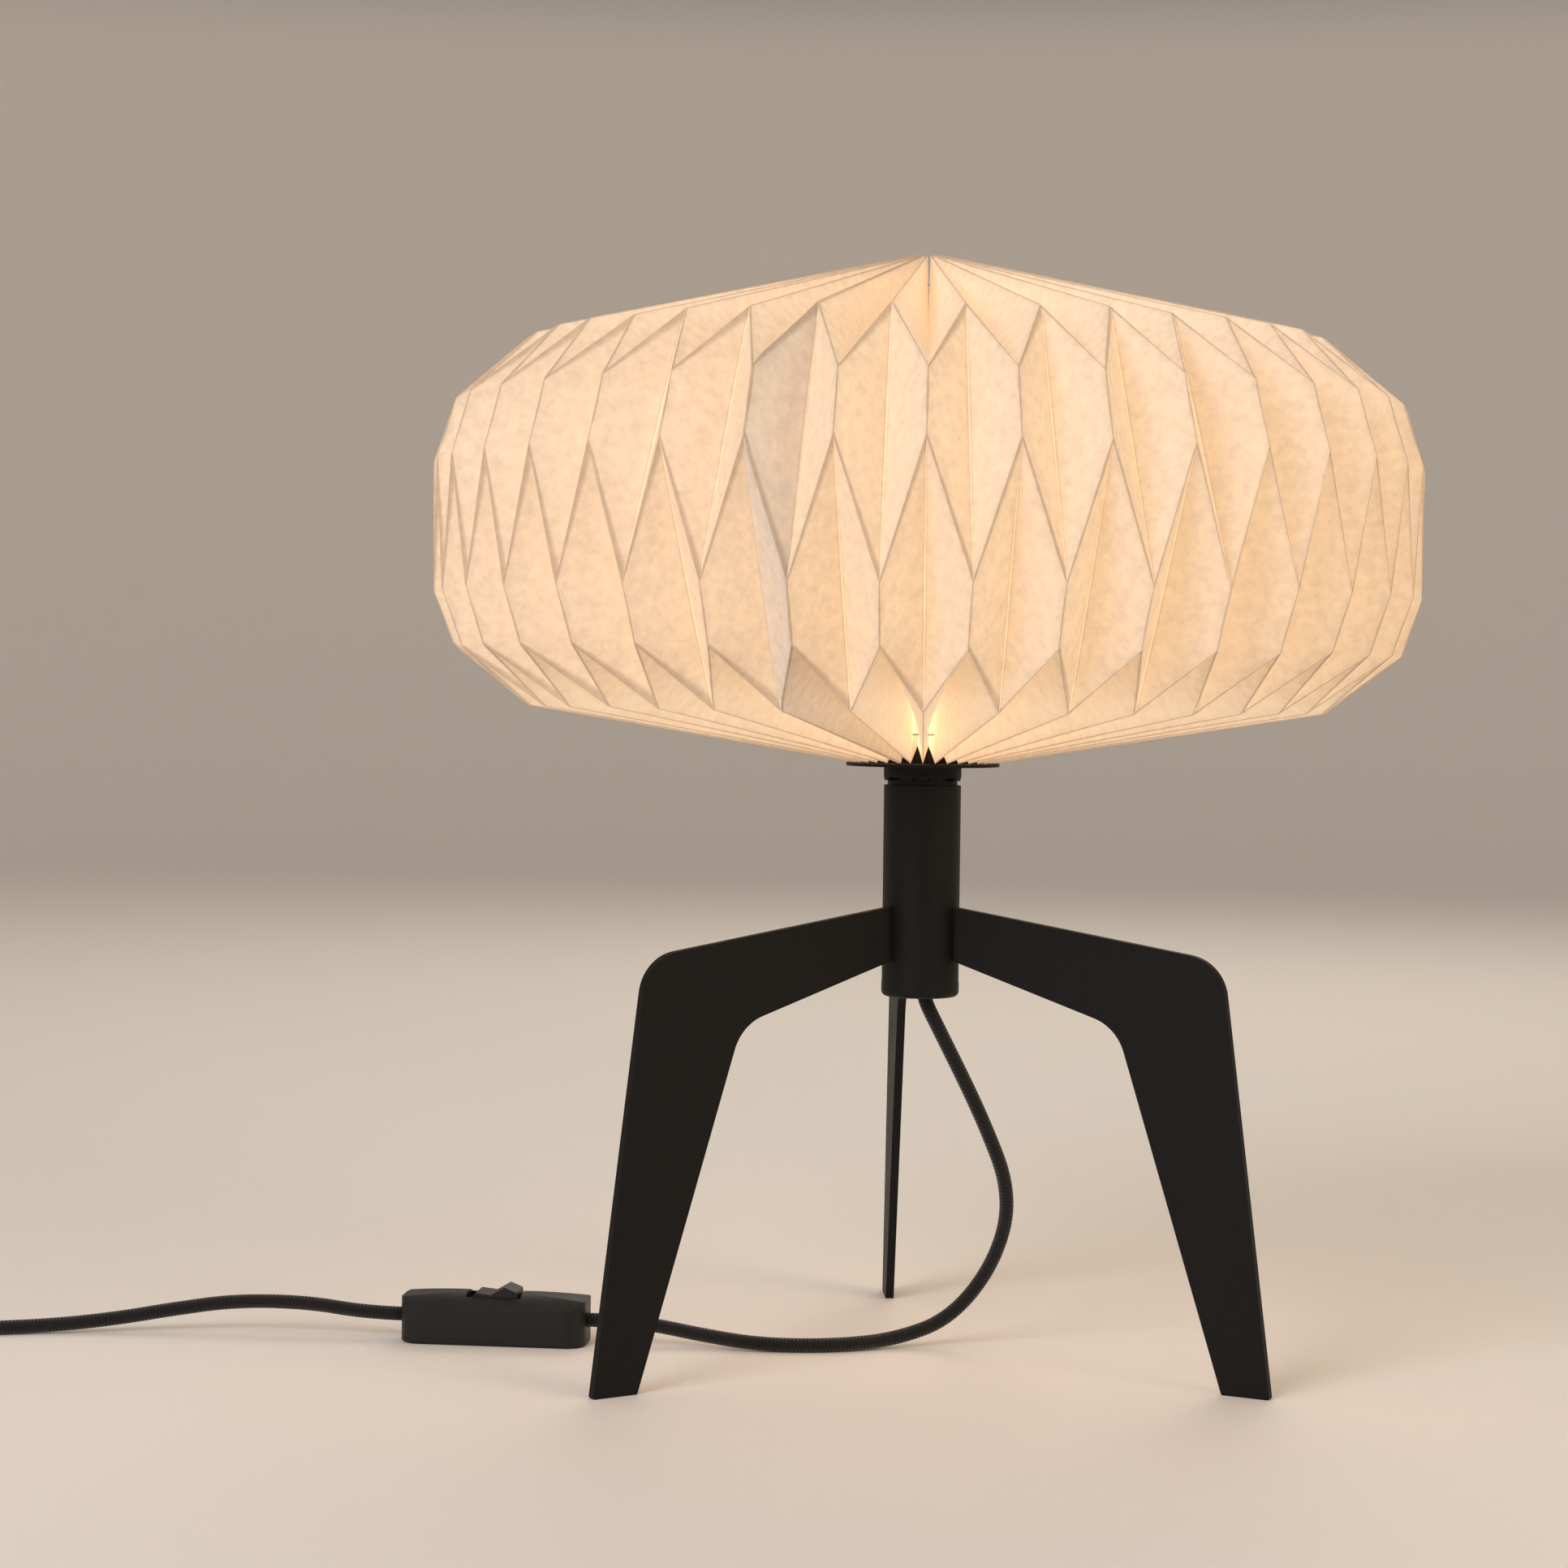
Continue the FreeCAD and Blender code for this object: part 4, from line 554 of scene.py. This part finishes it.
# ---------------------------------------------------------------- operators
class PAPERLAMP_OT_stage(bpy.types.Operator):
    """Make the camera, the soft lights and the pale floor with its rounded backdrop"""
    bl_idname = "paper_lamp.stage"
    bl_label = "Stage"

    def execute(self, context):
        scene = context.scene
        scene.view_settings.view_transform = "Standard"
        data = bpy.data.cameras.new("view_of_lamp")
        data.lens = 76.02
        data.sensor_width = 36.0
        camera = bpy.data.objects.new("view_of_lamp", data)
        scene.collection.objects.link(camera)
        pitch, yaw, roll = 0.0316, -0.0004, 0.0113
        ahead = Vector((math.sin(yaw) * math.cos(pitch), math.cos(yaw) * math.cos(pitch), -math.sin(pitch)))
        right = Vector((math.cos(yaw), -math.sin(yaw), 0.0))
        up = right.cross(ahead)
        leant = right * math.cos(roll) + up * math.sin(roll)
        upright = up * math.cos(roll) - right * math.sin(roll)
        turned = Matrix((leant, upright, -ahead)).transposed().to_4x4()
        camera.matrix_world = Matrix.Translation((-0.06235, -1.50430, 0.30984)) @ turned
        scene.camera = camera

        world = bpy.data.worlds.new("studio_air")
        world.use_nodes = True
        world.node_tree.nodes.clear()
        air = add(world.node_tree, "ShaderNodeBackground", {"Color": linear("#F3F1EE"), "Strength": 0.52})
        add(world.node_tree, "ShaderNodeOutputWorld", {"Surface": air.outputs["Background"]})
        scene.world = world
        for name, spot, aim, width, power, tint in (
                ("window_light", (-1.6, -2.1, 1.7), (0.0, 0.0, 0.3), 1.7, 46.0, "#EEF2FF"),
                ("room_light", (1.9, -1.4, 1.2), (0.0, 0.0, 0.3), 1.4, 15.0, "#FFEBD2"),
                ("back_light", (0.4, 2.1, 1.9), (0.0, 0.0, 0.3), 1.6, 16.0, "#FFF4E6")):
            lamp = bpy.data.lights.new(name, "AREA")
            lamp.shape = "DISK"
            lamp.size = width
            lamp.energy = power
            lamp.color = linear(tint)[:3]
            holder = bpy.data.objects.new(name, lamp)
            way = Vector(aim) - Vector(spot)
            holder.matrix_world = Matrix.Translation(spot) @ way.to_track_quat("-Z", "Y").to_matrix().to_4x4()
            scene.collection.objects.link(holder)

        bm = bmesh.new()
        profile = [bm.verts.new((x, 0.0, z)) for x, z in
                   [(0.0, 0.0), (4.0, 0.0)]
                   + [(4.0 + 2.0 * math.sin(a), 2.0 - 2.0 * math.cos(a)) for a in
                      (math.radians(10 * k) for k in range(1, 10))] + [(6.0, 5.0)]]
        edges = [bm.edges.new(pair) for pair in zip(profile, profile[1:])]
        bmesh.ops.spin(bm, geom=profile + edges, cent=(0, 0, 0), axis=(0, 0, 1), angle=TAU, steps=64,
                       use_merge=True)
        bmesh.ops.remove_doubles(bm, verts=bm.verts, dist=0.0001)
        bmesh.ops.recalc_face_normals(bm, faces=bm.faces)
        bmesh.ops.reverse_faces(bm, faces=[f for f in bm.faces if f.normal.z < 0])
        for face in bm.faces:
            face.smooth = True
        mesh = bpy.data.meshes.new("studio_floor")
        bm.to_mesh(mesh)
        bm.free()
        material, tree = new_material("painted_board")
        place = add(tree, "ShaderNodeTexCoord")
        roller = add(tree, "ShaderNodeTexNoise", {"Vector": place.outputs["Object"], "Scale": 260.0,
                                                  "Detail": 2.0})
        bump = add(tree, "ShaderNodeBump", {"Height": roller.outputs["Fac"], "Strength": 0.08,
                                            "Distance": 0.0004})
        paint = add(tree, "ShaderNodeBsdfPrincipled", {"Base Color": tuple(colours().floor), "Roughness": 0.7,
                                                       "Specular IOR Level": 0.3,
                                                       "Normal": bump.outputs["Normal"]})
        add(tree, "ShaderNodeOutputMaterial", {"Surface": paint.outputs["BSDF"]})
        mesh.materials.append(material)
        floor = bpy.data.objects.new("studio_floor", mesh)
        scene.collection.objects.link(floor)
        return {"FINISHED"}


class PAPERLAMP_OT_cords(bpy.types.Operator):
    """Lay the two braided cords along their routes"""
    bl_idname = "paper_lamp.cords"
    bl_label = "Cords"

    def execute(self, context):
        braid = textile_braid("braided_rayon", tuple(colours().braid), sizes().braid_strands, 24.0)
        give(["inner_lead", "switch_cord_ends"], braid)
        switch = [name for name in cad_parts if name.startswith("switch_")]
        plug = ["plug_body", "plug_pins", "plug_strain_relief"]
        for name, route, nodes, end, pieces, lay in (
                ("braided_lamp_cord", LAMP_CORD, ["lamp_cord"], "fitting", switch, "hanging"),
                ("braided_mains_cord", MAINS_CORD, ["mains_cord", "mains_coil", "plug_lead"], "plug", plug,
                 "coiled")):
            path = centreline(route)
            bm, length = sleeve(path, CORD_RADIUS * MM, 16)
            piece = finished(bm, name, "base", braid)
            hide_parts(*nodes)
        return {"FINISHED"}


class PAPERLAMP_OT_shade(bpy.types.Operator):
    """Fold the two paper sheets and the glued laps that join them"""
    bl_idname = "paper_lamp.shade"
    bl_label = "Folded Shade"

    def execute(self, context):
        own = colours()
        # The last number is each paper's share of the painted glow; the double-layer laps get a fifth of it.
        single = folded_paper("folded_paper", tuple(own.paper), tuple(own.crease), 0.45,
                              tuple(own.paper_light), 1.0)
        double = folded_paper("folded_paper_lap", tuple(own.paper), tuple(own.crease), 0.2,
                              tuple(own.paper_light), 0.2)
        half = PLEATS
        for name, first, node in (("folded_sheet_right", SEAM_LINE, "paper_sheet_right"),
                                  ("folded_sheet_left", SEAM_LINE + half, "paper_sheet_left")):
            sheet = finished(folded_sheet(first, first + half), name, "shade", single)
            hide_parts(node)
        for name, first in (("glued_lap_front", SEAM_LINE), ("glued_lap_back", SEAM_LINE + half)):
            bm = folded_sheet(first, first + 1, sizes().lap_lift, sizes().lap_curl, 0.5)
            finished(bm, name, "shade", double)
        return {"FINISHED"}


class PAPERLAMP_OT_metal(bpy.types.Operator):
    """Finish the coated stand and the plated hardware inside it"""
    bl_idname = "paper_lamp.metal"
    bl_label = "Metal"

    def execute(self, context):
        give(["stem_tube", "stem_foot_cap", "leg_back", "leg_left", "leg_right", "collar", "shade_disc"],
             powder_coat("powder_coated_steel", tuple(colours().coat)))
        give(["leg_clamp_lower", "leg_clamp_upper", "leg_washer", "leg_nut", "collar_nut", "threaded_rod",
              "switch_pivot_pin", "switch_case_screws", "bottom_tie_ring", "top_tie_ring"],
             plated("zinc_plated_steel", linear("#B9BDC3"), 0.34, 900.0))
        give(["lampholder_screw_shell", "lampholder_centre_contact", "lampholder_terminal_screws",
              "switch_terminals", "switch_terminal_screws", "bulb_tip_contact"],
             plated("pressed_brass", linear("#C9A45C"), 0.3, 1200.0))
        give(["bulb_screw_cap", "plug_pins"], plated("nickel_plated_brass", linear("#C8C4BC"), 0.22, 700.0))
        return {"FINISHED"}


class PAPERLAMP_OT_plastic(bpy.types.Operator):
    """Finish the moulded pieces and put the on and off marks on the rocker"""
    bl_idname = "paper_lamp.plastic"
    bl_label = "Plastic and Bulb"

    def execute(self, context):
        black = moulded("moulded_black_abs", tuple(colours().plastic), 0.42, 0.0009)
        give(["cord_bush", "lampholder_base", "lampholder_skirt", "bulb_insulator", "switch_base",
              "switch_cover", "switch_rocker", "switch_cord_clamps", "plug_body", "plug_strain_relief"], black)
        give(["lampholder_insert", "bulb_housing", "bulb_led_board"],
             moulded("moulded_white_pbt", linear("#ECE7DC"), 0.5, 0.0011))
        give(["bulb_globe"], opal_glass("opal_bulb", linear("#F6F0E2"), linear("#FFDDB4"), sizes().bulb_glow))

        turned = Matrix.Rotation(SWITCH_TURN, 4, "Z")
        tilted = Matrix.Rotation(math.radians(-12.0), 4, "Y")
        home = Matrix.Translation((SWITCH_CENTRE[0] * MM, SWITCH_CENTRE[1] * MM, 0.0177)) @ turned @ tilted
        slope = math.atan2(7.5 - 5.2, 7.0)
        for name, side in (("rocker_off_mark", 1), ("rocker_on_mark", -1)):
            bm = bmesh.new()
            if side > 0:
                bmesh.ops.create_circle(bm, segments=8, radius=0.00014)
                bmesh.ops.rotate(bm, verts=bm.verts, cent=(0, 0, 0), matrix=Matrix.Rotation(math.pi / 2, 3, "X"))
                bmesh.ops.translate(bm, verts=bm.verts, vec=(0.0012, 0, 0))
                bmesh.ops.spin(bm, geom=list(bm.verts) + list(bm.edges), cent=(0, 0, 0), axis=(0, 0, 1),
                               angle=TAU, steps=28, use_merge=True)
                bmesh.ops.remove_doubles(bm, verts=bm.verts, dist=0.000005)
                bmesh.ops.recalc_face_normals(bm, faces=bm.faces)
            else:
                bmesh.ops.create_cube(bm, size=1.0)
                bmesh.ops.scale(bm, verts=bm.verts, vec=(0.0003, 0.0026, 0.00028))
                bmesh.ops.bevel(bm, geom=list(bm.edges), offset=0.00006, segments=2, affect="EDGES",
                                profile=0.5, material=-1)
            seat = (Matrix.Translation((side * 0.0034, 0.0, (5.2 + 3.4 * (7.5 - 5.2) / 7.0) * MM))
                    @ Matrix.Rotation(-side * slope, 4, "Y"))
            bmesh.ops.transform(bm, matrix=home @ seat, verts=bm.verts)
            finished(bm, name, "rocker", black)
        return {"FINISHED"}


class PAPERLAMP_PT_panel(bpy.types.Panel):
    """Everything that makes the lamp's looks"""
    bl_idname = "PAPERLAMP_PT_panel"
    bl_label = "Pleated Paper Lamp"
    bl_space_type = "VIEW_3D"
    bl_region_type = "UI"
    bl_category = "Paper Lamp"

    def draw(self, context):
        for group in (context.scene.paper_lamp_sizes, context.scene.paper_lamp_colours):
            column = self.layout.column(align=True)
            for key in group.bl_rna.properties.keys():
                if key not in ("rna_type", "name"):
                    column.prop(group, key)
        for step in STEPS:
            self.layout.operator("paper_lamp." + step)


STEPS = ("stage", "cords", "shade", "metal", "plastic")
CLASSES = (PaperLampSizes, PaperLampColours, PAPERLAMP_OT_stage, PAPERLAMP_OT_cords, PAPERLAMP_OT_shade,
           PAPERLAMP_OT_metal, PAPERLAMP_OT_plastic, PAPERLAMP_PT_panel)


def register():
    for item in CLASSES:
        bpy.utils.register_class(item)
    bpy.types.Scene.paper_lamp_sizes = bpy.props.PointerProperty(type=PaperLampSizes)
    bpy.types.Scene.paper_lamp_colours = bpy.props.PointerProperty(type=PaperLampColours)


def unregister():
    del bpy.types.Scene.paper_lamp_colours
    del bpy.types.Scene.paper_lamp_sizes
    for item in reversed(CLASSES):
        bpy.utils.unregister_class(item)


def main():
    """Register the classes and run every operator."""
    register()
    for step in STEPS:
        getattr(bpy.ops.paper_lamp, step)()


if __name__ == "__main__":
    main()
